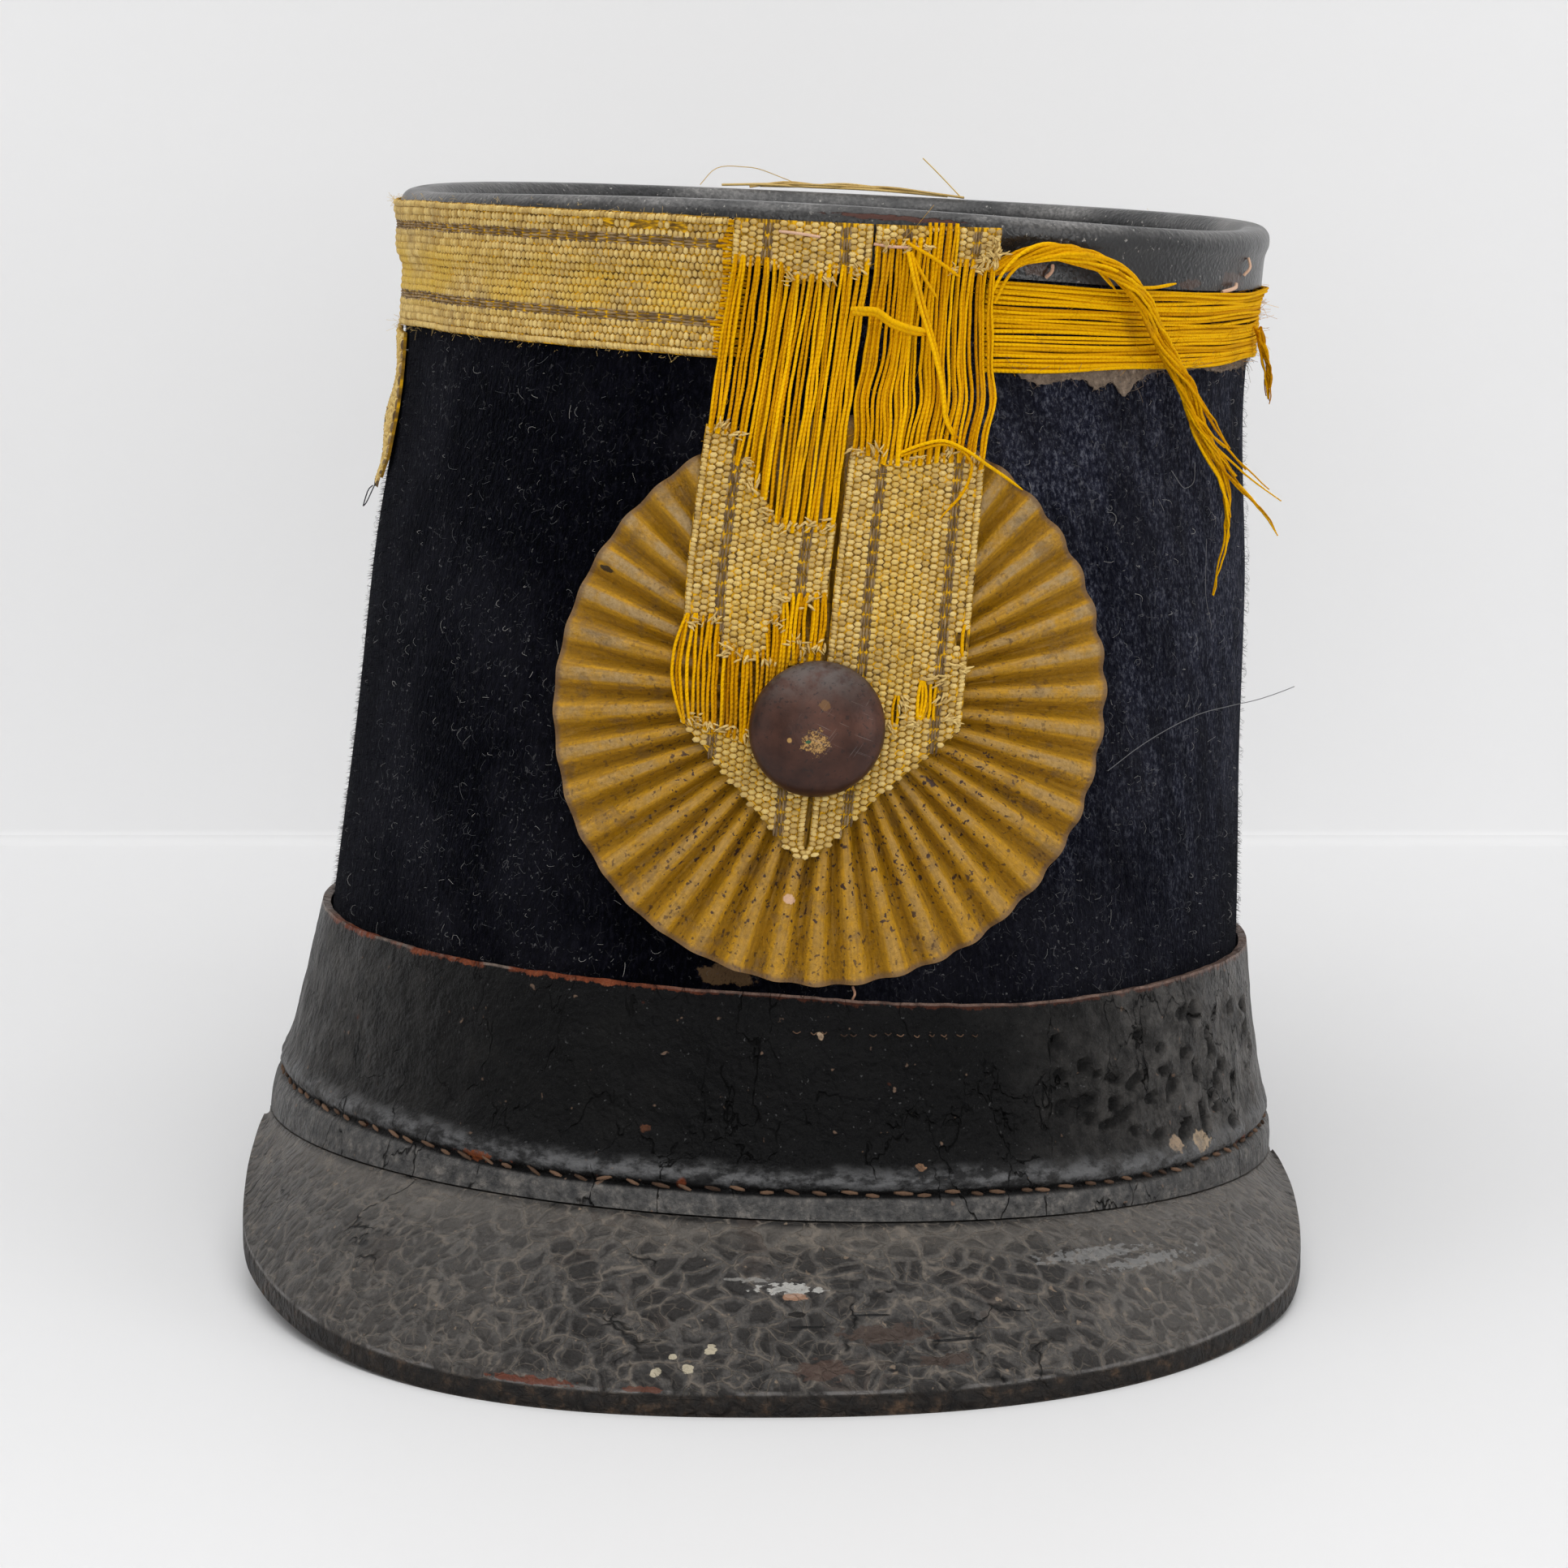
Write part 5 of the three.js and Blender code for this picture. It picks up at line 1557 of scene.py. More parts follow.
for side, woven in WOVEN.items():
    def there(s, w):
        share, height = w / BRAID_WIDTH, LOOP_FOOT + s
        return woven(share, height) & inside_fold(side, share, height)

    rows = weave(LOOP_SPAN, BRAID_WIDTH, there)
    piece = weft("loop_weft_" + side, rows, loop_place(side), 0)
    finish(piece, loop_weft, angle=80)

# %% [markdown]
# ## Bare warp
# Where the weft is gone the warp hangs as loose yarns, about half a millimetre thick. They leave
# the weave in small bunches, spread between their two ends, cling together here and part there.
# `bundle_up` gives that clinging: neighbours share the same slow wander, so gaps open between
# groups and not between single yarns.

# %% Yarn material
yellow_yarn, shader, space, flat = new_material("yellow_yarn", 0.05, 0.9)
fibre = noise(space, 2200, 2)
shade = plus(times(attribute(space, "tint"), 0.62), times(fibre, 0.38))
colour = ramp(shade, [(0.05, 0.27, 0.094, 0), (0.4, 0.6, 0.272, 0.0005), (0.85, 0.86, 0.47, 0.002)])
dirt = times(patchy(space, 120, 0.6, 0.08), 0.35)
ply = maths("SINE", plus(times(part(flat, "X"), 8), part(flat, "Y")))
dress(shader, mixed(dirt, colour, (0.42, 0.2, 0.01)), plus(times(ply, 0.4), fibre), 0.00014, 0.9)
print("material:", yellow_yarn.name)


# %% Yarns of the loop
LOOP_YARNS, BACK_YARNS, YARN_RADIUS, IN_FRONT, BEHIND = 31, 14, 0.275, 0.55, 0.1


def yellow(name, paths, radii, tints, replaced=()):
    return finish(tubes(name, paths, radii, 6, tints), yellow_yarn, replaced, angle=80)


def yarn_tint(middle, spread, in_front=True):
    """A tint for one yarn: those behind lie in the shade."""
    return np.clip(RNG.normal(middle, spread), 0, 1) * (1 if in_front else 0.5)


def bundle_up(share, height, seed):
    return share + 0.028 * wave_noise(share * 26, height / 14, seed, 3, 6)


def loop_yarn(side, share, low, high, layer, bow=0):
    """One warp yarn of the loop between two heights."""
    t = np.linspace(0, 1, 24)
    height = low + (high - low) * t
    middle = np.sin(np.pi * t) ** 0.6
    column_middle = (np.floor(share * COLUMNS) + 0.5) / COLUMNS
    pinch = column_middle + 0.3 * (share - column_middle)
    wander = bundle_up(share, height, 91 if side == "left" else 92)
    where = pinch * (1 - middle) + wander * middle
    where = where + 0.008 * middle * wave_noise(height, 0 * height + 400 * share, 93, 2, 9)
    if side == "right":
        parted = np.tanh((share - 0.29 - 0.015 * (height - 128)) * 14)
        where = where + 0.04 * middle * parted * np.exp(-(((height - 131) / 4) ** 2))
    lift = layer * (0.35 + 0.65 * middle) + 0.14 * middle * wave_noise(height, 80 * share, 94, 2, 12)
    across = strip_across(side, where, height) + bow * np.sin(np.pi * t)
    return on_loop(across, height, 0.45 + lift)


def loop_yarns(side, top, high, low=None, foot=None):
    """All bare yarns of one width: from its top patch to the next, and from there to its foot."""
    paths, tints = [], []
    for count, layer in ((LOOP_YARNS, IN_FRONT), (BACK_YARNS, BEHIND)):
        for share in (np.arange(count) + 0.5) / count + RNG.normal(0, 0.004, count):
            share = min(max(share, 0.01), 0.99)
            start, end = edge_height(high, share) - 1.4, edge_height(top, share) + 1.4
            lift = layer + RNG.uniform(0, 0.35)
            paths.append(loop_yarn(side, share, start, end, lift))
            tints.append(yarn_tint(0.6, 0.25, layer == IN_FRONT))
            if low is None:
                continue
            start, end = edge_height(foot, share) - 1.4, edge_height(low, share) + 1.4
            if share > 0.62:
                start = edge_height(LEFT_KNOT, share) - 3 if share > KNOT_SHARE else 84
            bow = -2.6 * (1 - share / 0.1) if share < 0.1 else 0
            paths.append(loop_yarn(side, share, start, end, lift, bow))
            tints.append(yarn_tint(0.6, 0.25, layer == IN_FRONT))
    return paths, tints


paths, tints = loop_yarns("left", LEFT_TOP, LEFT_HIGH, LEFT_LOW, LEFT_FOOT)
more_paths, more_tints = loop_yarns("right", RIGHT_TOP, RIGHT_HIGH)
for share, low, high in ((0.5, 78.5, 84.2), (0.54, 78.5, 84.2), (0.67, 80, 86.4), (0.69, 80, 86.6),
                         (0.71, 80, 86.4), (0.76, 80, 86.2), (0.79, 80, 86.4), (0.945, 90.5, 95.5)):
    more_paths.append(loop_yarn("right", share, low, high, 0.3))
    more_tints.append(RNG.uniform(0.4, 1))
radii = RNG.normal(YARN_RADIUS, 0.02, len(paths) + len(more_paths))
yellow("loop_warp", paths + more_paths, radii, tints + more_tints)

# %% [markdown]
# ### Bare warp on the right side
# On the other side of the loop the band has lost all its weft. Its yarns run on round the side,
# drawn together in a rope-like strip, until they enter the weave again at the back. Their edges
# are given by a table; they dip slightly under their own weight between the fixed ends.

# %% Side warp
WARP = np.array([
    # angle, low edge, high edge
    (18, 135.6, 151.2), (29, 135.6, 150.4), (50, 135.7, 148.9), (75, 135.6, 148), (100, 134.6, 147.6),
    (112, 134, 149), (124, 134, 155), (127, 133.8, 155.2),
])
WARP_FROM, WARP_TO, SIDE_LAYERS = 19, 126, ((22, 0.6), (15, 0.1))


def side_yarn(share, layer):
    t = np.linspace(0, 1, 64)
    angle = WARP_FROM + (WARP_TO - WARP_FROM) * t
    low, high = column(WARP, angle, 1) + 0.3, column(WARP, angle, 2) - 0.3
    where = share + 0.032 * wave_noise(share * 14, angle / 12, 95, 3, 4)
    where = where + 0.026 * wave_noise(angle / 8, 0 * angle + 40 * share, 96, 2, 4)
    height = low + (high - low) * np.clip(where, -0.01, 1.01)
    twist = 0.12 * wave_noise(angle / 4, 0 * angle + 70 * share, 97, 2, 5)
    return shell(angle, height, climb(angle, height) + 0.2 + layer + twist)


paths, tints = [], []
for count, layer in SIDE_LAYERS:
    for share in (np.arange(count) + 0.5) / count:
        paths.append(side_yarn(share, layer + RNG.uniform(0, 0.2)))
        # These yarns take lighter tints than the loop's: a painted highlight where the light falls on this
        # side.
        tints.append(yarn_tint(0.85, 0.2, layer > 0.3))
yellow("side_warp", paths, RNG.normal(0.3, 0.03, len(paths)), tints, ["bare_warp"])

# %% [markdown]
# ### Loose bundle, tuft and short ends
# Some twenty yarns have come out of the band altogether. They lie together as a loosely turned
# rope that arches over the crown's skirt, hangs down the side, opens out and ends in three frayed
# points. Each yarn follows the rope's middle line at its own offset, turning slowly round it, and
# then goes to one of the points. Single loose ends are drawn the same way from a few stations each.

# %% Bundle of loose yarns
STEM = np.array([
    # angle, height, out, radius
    (18.6, 152.2, 2.8, 1.2), (22.4, 154.4, 3.8, 1.4), (26.3, 155.6, 4.8, 1.5), (31.6, 154.5, 5.4, 1.5),
    (38.6, 149.6, 5.6, 1.5), (44.3, 141, 4.6, 1.6), (50.6, 133, 4.2, 1.8),
])
POINTS = [
    [(53, 127.5, 4.6, 1.8), (57, 119, 7.5, 1.1), (60.5, 111.5, 12, 0.5), (61.6, 107.5, 13.5, 0.15)],
    [(54, 127, 5.4, 1.7), (58, 119.5, 9.5, 0.9), (60.6, 115.2, 13.5, 0.5), (61.6, 113.6, 15, 0.2)],
    [(53, 127, 4.6, 1.8), (57.2, 116.5, 6.6, 1.2), (58.8, 108.5, 5.8, 0.8), (59.4, 102.5, 3.8, 0.7),
     (58.9, 96.5, 2.6, 0.12)],
]
BUNDLE_YARNS, STATIONS = 22, 60


def smooth_path(rows, count):
    """Points along a smooth curve through rows of angle, height, out and perhaps radius."""
    rows = np.array(rows, float)
    steps = np.hypot(np.diff(rows[:, 0]) * 1.3, np.diff(rows[:, 1])) + 0.5
    key = np.concatenate([[0], np.cumsum(steps)])
    t = np.linspace(0, key[-1], count)
    values = [through(t, key, value) for value in rows.T]
    return shell(*values[:3]), values, t


def rope_yarn(rows, phase, turns, share, cut):
    path, (angle, height, out, radius), t = smooth_path(rows, STATIONS)
    outward = shell(angle, height, out + 1) - path
    side = unit(np.cross(unit(np.gradient(path, axis=0)), outward))
    turn = (phase + 2 * np.pi * turns * t / t[-1])[:, None]
    away = (np.maximum(radius - 0.3, 0.05) * share)[:, None]
    path = path + away * (np.cos(turn) * side + 0.75 * np.sin(turn) * outward)
    stray = [wave_noise(t, 0 * t + 9 * phase + k, 101 + k, 3, 9) for k in range(3)]
    return (path + 0.4 * np.stack(stray, -1))[: int(STATIONS * cut)]


paths, radii, tints = [], [], []
for i in range(BUNDLE_YARNS):
    rows = np.vstack([STEM, POINTS[i % 3]])
    phase = 2 * np.pi * i / BUNDLE_YARNS * 5
    path = rope_yarn(rows, phase, 1.5, RNG.uniform(0.5, 1.1), RNG.uniform(0.8, 1))
    paths.append(path)
    radii.append(np.interp(np.linspace(0, 1, len(path)), (0, 0.8, 1), (0.31, 0.28, 0.11)))
    tints.append(yarn_tint(0.6, 0.22))
LOOSE_ENDS = [
    # thickness, then angle, height, out of each station
    (0.5, [(1.8, 145.4, 4.6), (4.2, 145.6, 6.2), (6.7, 143.8, 6.4), (9.1, 142.8, 6.2), (11.6, 142.3, 5.2)]),
    (0.5, [(2, 144.9, 4.8), (4.2, 145, 5.8), (6.7, 143.2, 6), (9.1, 142.2, 5.8), (11.2, 141.9, 5)]),
    (0.34, [(8, 155.1, 5.2), (9.9, 146.1, 5.8), (11.7, 139.7, 6), (13.1, 133.2, 6.4), (13.8, 128, 6.6),
            (15.4, 124.8, 5.6)]),
    (0.34, [(8.4, 155.1, 5), (10.4, 146.1, 5.6), (12.1, 139.7, 5.6), (13.3, 133.2, 6), (14.2, 127.5, 6.4),
            (15.9, 124.9, 5.6)]),
    (0.28, [(8.6, 122.7, 5.2), (10.9, 124.3, 6.6), (13.3, 125.1, 7.2), (15.7, 124, 7.6), (18.8, 121.4, 7.4),
            (25.1, 116.8, 3.6)]),
    (0.26, [(8.8, 122.3, 5.2), (11.2, 123.7, 6.4), (13.5, 124.5, 7), (15.7, 123.6, 7.2), (17, 121, 7.4),
            (16.5, 117.7, 7), (13.7, 112.5, 6.2)]),
    (0.32, [(8, 156.4, 4.2), (11, 154.2, 5.6), (14.5, 151.2, 5.4)]),
    (0.3, [(8.6, 154.5, 4.6), (10.3, 150.6, 5.6), (11.9, 147.7, 5.4)]),
    (0.3, [(19.2, 148.3, 3), (20.5, 152.9, 4.6), (22.7, 155.8, 5.2), (25.7, 156.9, 4.6), (31, 155, 4),
           (36, 150, 3.6)]),
    (0.3, [(19.8, 147, 3), (21.2, 151.9, 4.2), (23.5, 154.6, 4.6), (28, 155.6, 3.6), (35, 151.6, 3.4),
           (37.5, 148.6, 3.2)]),
    (0.3, [(38.8, 149.6, 3.2), (43, 149.6, 3.2), (47.5, 150.2, 3.4)]),
    (0.3, [(76, 141.5, 1.8), (77.5, 137, 3.4), (79.2, 133, 4.4), (79.5, 129.5, 4.4)]),
]
for radius, stations in LOOSE_ENDS:
    paths.append(smooth_path(stations, 24)[0])
    radii.append(np.interp(np.linspace(0, 1, 24), (0, 0.85, 1), (radius, radius, 0.45 * radius)))
    tints.append(RNG.uniform(0.5, 1))
yellow("loose_yarns", paths, radii, tints, ["yarn_bundle"])

# %% Tuft at the side
TUFT = np.array([(76, 141, 2.6, 0.8), (77.5, 137, 3.6, 1), (79, 133, 4.2, 0.9), (79, 128, 4.8, 0.5)])
TUFT_YARNS = 9
paths = [rope_yarn(TUFT, 2.4 * i, 0.4, RNG.uniform(0.4, 1.5), RNG.uniform(0.75, 1))
         for i in range(TUFT_YARNS)]
radii = [np.linspace(0.3, 0.1, len(p)) for p in paths]
yellow("side_tuft", paths, radii, RNG.uniform(0, 0.7, TUFT_YARNS), ["yarn_tuft"])

# %% [markdown]
# ### Torn end at the left side
# A short length of braid, torn off and left hanging, shows at the left edge of the hat. It is the
# same weave, narrower and dirtier, and its foot is frayed into loose fibres.

# %% Braid remnant
REMNANT = np.array([
    # height, edge towards the front, edge towards the back, out
    (108, -83, -87, 0.9), (113, -79, -90, 0.8), (122, -79, -93, 0.5), (133.6, -80, -94, 0.3),
])
REMNANT_FOOT, REMNANT_HEAD, REMNANT_WIDTH = 108, 134, 17
REMNANT_LENGTH = REMNANT_HEAD - REMNANT_FOOT


def remnant_place(s, w, lift):
    height = REMNANT_FOOT + s
    front, back = straight(REMNANT, height), straight(REMNANT, height, 2)
    share = w / REMNANT_WIDTH
    out = column(REMNANT, height, 3) + 0.5 * np.sin(height / 2.3) * (1 - share)
    return shell(back + (front - back) * share, height, out + lift)


remnant = wrap(
    cut_sheet("remnant_ground", 20, 30),
    lambda u, v: remnant_place(v * (REMNANT_LENGTH - 1) + 1, u * REMNANT_WIDTH, 0.45),
    (REMNANT_WIDTH, REMNANT_LENGTH),
)
thicken(remnant, 0.5)
finish(remnant, loop_ground_paint, ["braid_remnant"])
rows = weave(REMNANT_LENGTH, BRAID_WIDTH,
             lambda s, w: (w < REMNANT_WIDTH) & (wave_noise(s, w, 78, 3, 9) < 0.75))
remnant_stitches = finish(weft("remnant_weft", rows, remnant_place, 0.45), loop_weft, angle=80)

# %% [markdown]
# ## Cockade
# The cockade is a disc of thin tin pressed into 42 rounded pleats, painted mustard and bent a
# little round the body. It is a flat sheet wrapped into a disc: along it is the way round, up it is
# the way out. The pleats are rounded on top, narrow between, and fade out towards the middle.

# %% Cockade
FRONT_ANGLE, FRONT_HEIGHT = 3, 82.3
COCKADE_RADIUS, COCKADE_OUT, PLEATS, PLEAT_DEPTH, PLEATS_FULL, TIN = 46.2, 2, 42, 1.3, 28, 0.7


def front_frame(angle, height, out):
    """The middle of a flat thing fixed on the front, and its axes across, up and outwards."""
    return [rows[0] for rows in seats(shell, np.array([angle]), np.array([height]), out)]


ORIGIN, ACROSS, UPWARD, OUTWARD = front_frame(FRONT_ANGLE, FRONT_HEIGHT, 0)


def cockade_rule(u, v):
    turn, radius = 2 * np.pi * u, COCKADE_RADIUS * (0.04 + 0.96 * v)
    x, y = radius * np.sin(turn), radius * np.cos(turn)
    wave = np.cos(PLEATS * turn + 0.8 * wave_noise(x, y, 111, 2, 42) * smooth(radius, 8, 24))
    crest = 1 - 2 * (0.5 - 0.5 * wave) ** 1.9
    strength = PLEAT_DEPTH * smooth(radius, 6, PLEATS_FULL)
    dents = 0.3 * wave_noise(x, y, 112, 3, 30) * smooth(radius, 20, 46)
    depth = COCKADE_OUT + strength * crest + dents
    nicks = 0.006 * wave_noise(9 * np.cos(turn), 9 * np.sin(turn), 113, 3, 4) * smooth(v, 0.9, 1)
    edge = 1 - 0.004 * (1 - wave) * smooth(radius, 38, 46.2) + nicks
    x, y, bent = x * edge, y * edge, COCKADE_BEND
    flat = np.stack([bent * np.sin(x / bent), y, bent * (np.cos(x / bent) - 1) + depth], -1)
    return ORIGIN + flat[:, :1] * ACROSS + flat[:, 1:2] * UPWARD + flat[:, 2:] * OUTWARD


cockade = wrap(cut_sheet("cockade_tin", 420, 30), cockade_rule, (504, COCKADE_RADIUS))
close_seam(cockade)
thicken(cockade, TIN - 0.1)

# %% [markdown]
# The paint is old oil paint over tin. In the grooves it keeps its full mustard, painted darker there
# as painted shade; the ridges are rubbed to a greyish tan, more so on the upper half, where the tan
# is also a painted highlight; small dark rust spots have come through, crowded beside the loop's
# foot, and the rim is darker brown.

# %% Painted tin material
paint, shader, space, flat = new_material("painted_tin", 0.35, 0.62)
TIN_SCARS = (
    # place along and up the flat sheet, half size, colour
    ((264.5, 32.2), (2.6, 0.85), (0.6, 0.37, 0.24)), ((416.8, 43.5), (0.8, 1.3), (0.01, 0.006, 0.004)),
)
way_out, high = part(flat, "Y"), part(space, "Z")
ridge = fitted(maths("COSINE", times(part(flat, "X"), 2 * math.pi / 12)), -0.4, 0.95)
rubbed = fitted(noise(space, 150, 5, 0.7), 0.36, 0.6)
streak = noise(stretched(flat, (0.9, 0.12, 1)), 1, 3)
fine = noise(space, 1500, 3, 0.7)
outer = fitted(way_out, 14, 40, 0.55, 1)
# Rubbed paint on the ridges, stronger on the upper half, where it is also a painted highlight.
wear = times(fitted(ridge, 0.6, 1), rubbed, fitted(high, 0.06, 0.13, 0.35, 1), outer)
grime = patchy(space, 210, 0.6, 0.06)
near_foot = times(fitted(way_out, 44, 18, 0.35, 1), fitted(high, 0.115, 0.065, 0.4, 1.3))
rust = [times(speckled(space, scale, level), near_foot, 1.6, clamp=True)
        for scale, level in ((330, 0.71), (700, 0.65), (1150, 0.63))]
# Darker brown at the outer rim.
rim = fitted(plus(way_out, noise(flat, 0.7, 3)), 45.4, 46.4)
colour = painted(
    ramp(streak, [(0.3, 0.3, 0.14, 0), (0.5, 0.42, 0.208, 0.0005), (0.7, 0.52, 0.255, 0.001)]),
    # Darker in the grooves between the pleats: painted shade.
    (fitted(ridge, 0.3, 0, 0, 0.35), (0.15, 0.068, 0.002)), (times(wear, 0.8), (0.34, 0.245, 0.13)),
    (fitted(fine, 0.32, 0.66, 0.4, 0), (0.16, 0.085, 0.004)),
    (times(grime, 0.4, outer), (0.1, 0.062, 0.035)), *((mask, (0.045, 0.02, 0.011)) for mask in rust),
    (times(rim, 0.75), (0.13, 0.075, 0.04)),
    *((times(spot(flat, place, half, 0.8, 0.3), 0.9), tone) for place, half, tone in TIN_SCARS),
)
relief = plus(times(fine, 0.8), noise(space, 300, 4), times(noise(space, 120, 3), 1.5))
dress(shader, colour, minus(relief, times(grime, 0.4)), 0.0004, 0.8, fitted(rubbed, 0, 1, 0.5, 0.72))
finish(cockade, paint, ["cockade"], angle=60)

# %% [markdown]
# ## Button
# The button is a plain domed copper one, 22 mm across, that holds the loop's foot. It is the one
# hard shine on the hat. Its sheet runs from the middle out to the rim and turns under to its foot.

# %% Button
BUTTON_ANGLE, BUTTON_HEIGHT, BUTTON_RADIUS, BUTTON_RISE, BUTTON_EDGE = 1.1, 78.3, 11, 6.2, 1.2
BUTTON_FOOT, BUTTON_OUT = 10.2, 5.45
BUTTON_FRAME = front_frame(BUTTON_ANGLE, BUTTON_HEIGHT, BUTTON_OUT)


def button_rule(u, v):
    turn, over = 2 * np.pi * u, np.clip(v / 0.8, 0, 1) * math.pi / 2
    under = np.clip((v - 0.8) / 0.2, 0, 1)
    radius = BUTTON_RADIUS * np.sin(over) + (BUTTON_FOOT - BUTTON_RADIUS) * under
    rise = BUTTON_EDGE + (BUTTON_RISE - BUTTON_EDGE) * np.cos(over) - BUTTON_EDGE * under
    origin, across, upward, outward = BUTTON_FRAME
    x, y = radius * np.sin(turn), radius * np.cos(turn)
    dent = 0.07 * wave_noise(x, y, 121, 3, 9) * (1 - under)
    return origin + x[:, None] * across + y[:, None] * upward + (rise + dent)[:, None] * outward


button = wrap(cut_sheet("copper_button", 72, 34), button_rule, (69, 18))
close_seam(button)
thicken(button, 0.7)

# %% [markdown]
# The copper has gone deep brown. Its upper half is grey: partly a bloom, partly a painted highlight
# from the light above. Below the middle is a rub of bare gold metal with a fleck of green beside
# it, and there are a few fine scratches. Metallic is lower under the grey than elsewhere.

# %% Copper material
copper, shader, space, _ = new_material("old_copper", 0.5)
BUTTON_PLACE = SET_DOWN @ Vector(BUTTON_FRAME[0] + BUTTON_RISE * BUTTON_FRAME[3])


def button_spot(across_mm, up_mm, half_mm, ragged=0.5, pitch=700):
    """A ragged spot on the button's face, placed from its middle."""
    middle = BUTTON_PLACE + Vector((across_mm, 0, up_mm)) * 0.001
    away = vectors("SUBTRACT", space, middle)[0]
    far = vectors("LENGTH", vectors("MULTIPLY", away, (1000 / half_mm[0], 0, 1000 / half_mm[1]))[0])["Value"]
    rough = times(minus(noise(space, pitch, 4, 0.75), 0.5), 4 * ragged)
    return fitted(plus(far, rough), 1.1, 0.8)


clouds = noise(space, 160, 4, 0.6)
above_middle = minus(part(space, "Z"), BUTTON_PLACE.z)
# The grey on the upper half is partly a bloom and partly a painted highlight from the light above.
grey_bloom_and_highlight = times(fitted(above_middle, 0.001, 0.0105), fitted(noise(space, 330, 5, 0.7), 0.28, 0.6))
gold = times(button_spot(-0.4, -2.5, (2, 1.7), 0.9, 900), fitted(noise(space, 2600, 3, 0.7), 0.36, 0.56))
scratches = 0
for turn in (0.9, 2.7):
    line = noise(stretched(tilted(space, (0, turn, 0)), (120, 120, 5200)), 1, 1)
    scratches = plus(fitted(line, 0.7, 0.72), scratches)
scratches = times(scratches, button_spot(3.4, -0.4, (6, 5.5), 0.5, 300))
colour = painted(
    ramp(clouds, [(0.3, 0.03, 0.011, 0.007), (0.55, 0.062, 0.023, 0.014), (0.75, 0.1, 0.038, 0.023)]),
    (times(grey_bloom_and_highlight, 0.7), (0.1, 0.088, 0.08)),
    (times(speckled(space, 1500, 0.62), 0.6), (0.015, 0.01, 0.009)),
    (greater(gold, button_spot(-4.6, -2, (0.4, 0.4), 0.2)), (0.42, 0.24, 0.075)),
    (times(button_spot(1.1, 3.4, (0.9, 0.8)), 0.45), (0.22, 0.11, 0.03)),
    (button_spot(-1.6, -2.2, (0.5, 0.3), 0.3), (0.03, 0.09, 0.04)),
    (times(scratches, 0.2), (0.33, 0.3, 0.28)),
)
join(fitted(grey_bloom_and_highlight, 0, 1, 0.5, 0.15), shader["Metallic"])
relief = plus(noise(space, 900, 4), times(noise(space, 220, 2), 1.2), gold)
dull = plus(times(grey_bloom_and_highlight, 0.16), fitted(clouds, 0.3, 0.8, 0.36, 0.5))
dress(shader, colour, relief, 0.00009, 0.7, dull)
finish(button, copper, ["button"], angle=60)

# %% [markdown]
# ## Frayed ends and loose fibres
# What makes old braid look old is at its edges. Where a patch of weft stops, its cut threads stand
# off as pale, fuzzy ends, and fine fibres leave the braid and the yarns everywhere. Both are very
# thin tubes in joined meshes.

# %% Frayed weft along the patches
def fray_path(place, s, w, heading, length, rise):
    t = np.linspace(0, 1, 4)
    ds, dw = np.sin(heading) * length * t, np.cos(heading) * length * t
    base, _, _, out = seats(place, s + ds, w + dw, 0.35)
    return base + out * (rise * np.sin(np.pi * t * 0.8))[:, None]


FRAYED = [
    # side, edge, and where along the edge each tuft stands
    ("left", LEFT_HIGH, (0.12, 0.21, 0.31, 0.41, 0.53, 0.66, 0.83, 0.97)),
    ("left", LEFT_TOP, (0.45, 0.68, 0.93)),
    ("left", LEFT_LOW, (0.05, 0.2, 0.33, 0.47, 0.6, 0.66, 0.72, 0.88)),
    ("left", LEFT_KNOT, (0.8, 0.87, 0.96)), ("left", LEFT_FOOT, (0.08, 0.22, 0.36, 0.5)),
    ("right", RIGHT_TOP, (0.08, 0.22, 0.4, 0.68, 0.84)), ("right", RIGHT_HIGH, (0.06, 0.2, 0.45, 0.7, 0.92)),
]
LONE_TUFTS = [
    # share across the right width, height
    (0.47, 79.2), (0.57, 83.4), (0.66, 79.8), (0.73, 86.6), (0.8, 86.2), (0.87, 84), (0.9, 80.5),
    (0.94, 88.5), (0.86, 153.4), (0.9, 155), (0.95, 156.4), (0.97, 153.6), (0.99, 155.2),
]
TUFTS = [(side, share, edge_height(edge, share)) for side, edge, shares in FRAYED for share in shares]
TUFTS += [("right", *place) for place in LONE_TUFTS]
paths, radii = [], []
for side, share, height in TUFTS:
    heading = RNG.uniform(0, 2 * np.pi)
    for _ in range(8):
        s, w = height - LOOP_FOOT + RNG.normal(0, 0.45), share * BRAID_WIDTH + RNG.normal(0, 0.55)
        sizes = heading + RNG.normal(0, 0.5), RNG.uniform(0.7, 1.7), RNG.uniform(0.3, 0.9)
        paths.append(fray_path(loop_place(side), s, w, *sizes))
        radii.append(np.array([0.2, 0.21, 0.16, 0.07]) * RNG.uniform(0.6, 1.2))
for w in RNG.uniform(0.5, 21, 60):
    s = BAND_LENGTH - straight(END_STEPS, w) - RNG.uniform(-0.6, 0.6)
    heading = RNG.choice((np.pi / 2, -np.pi / 2)) + RNG.normal(0, 0.5)
    paths.append(fray_path(round_place, s, w, heading, RNG.uniform(0.5, 1.2), RNG.uniform(0.2, 0.6)))
    radii.append(np.array([0.2, 0.18, 0.14, 0.07]) * RNG.uniform(0.6, 1.1))
fray_paint = thread_material("frayed_weft", (0.46, 0.3, 0.1), (0.78, 0.58, 0.22))
finish(tubes("frayed_weft", paths, radii, 5), fray_paint, angle=80)

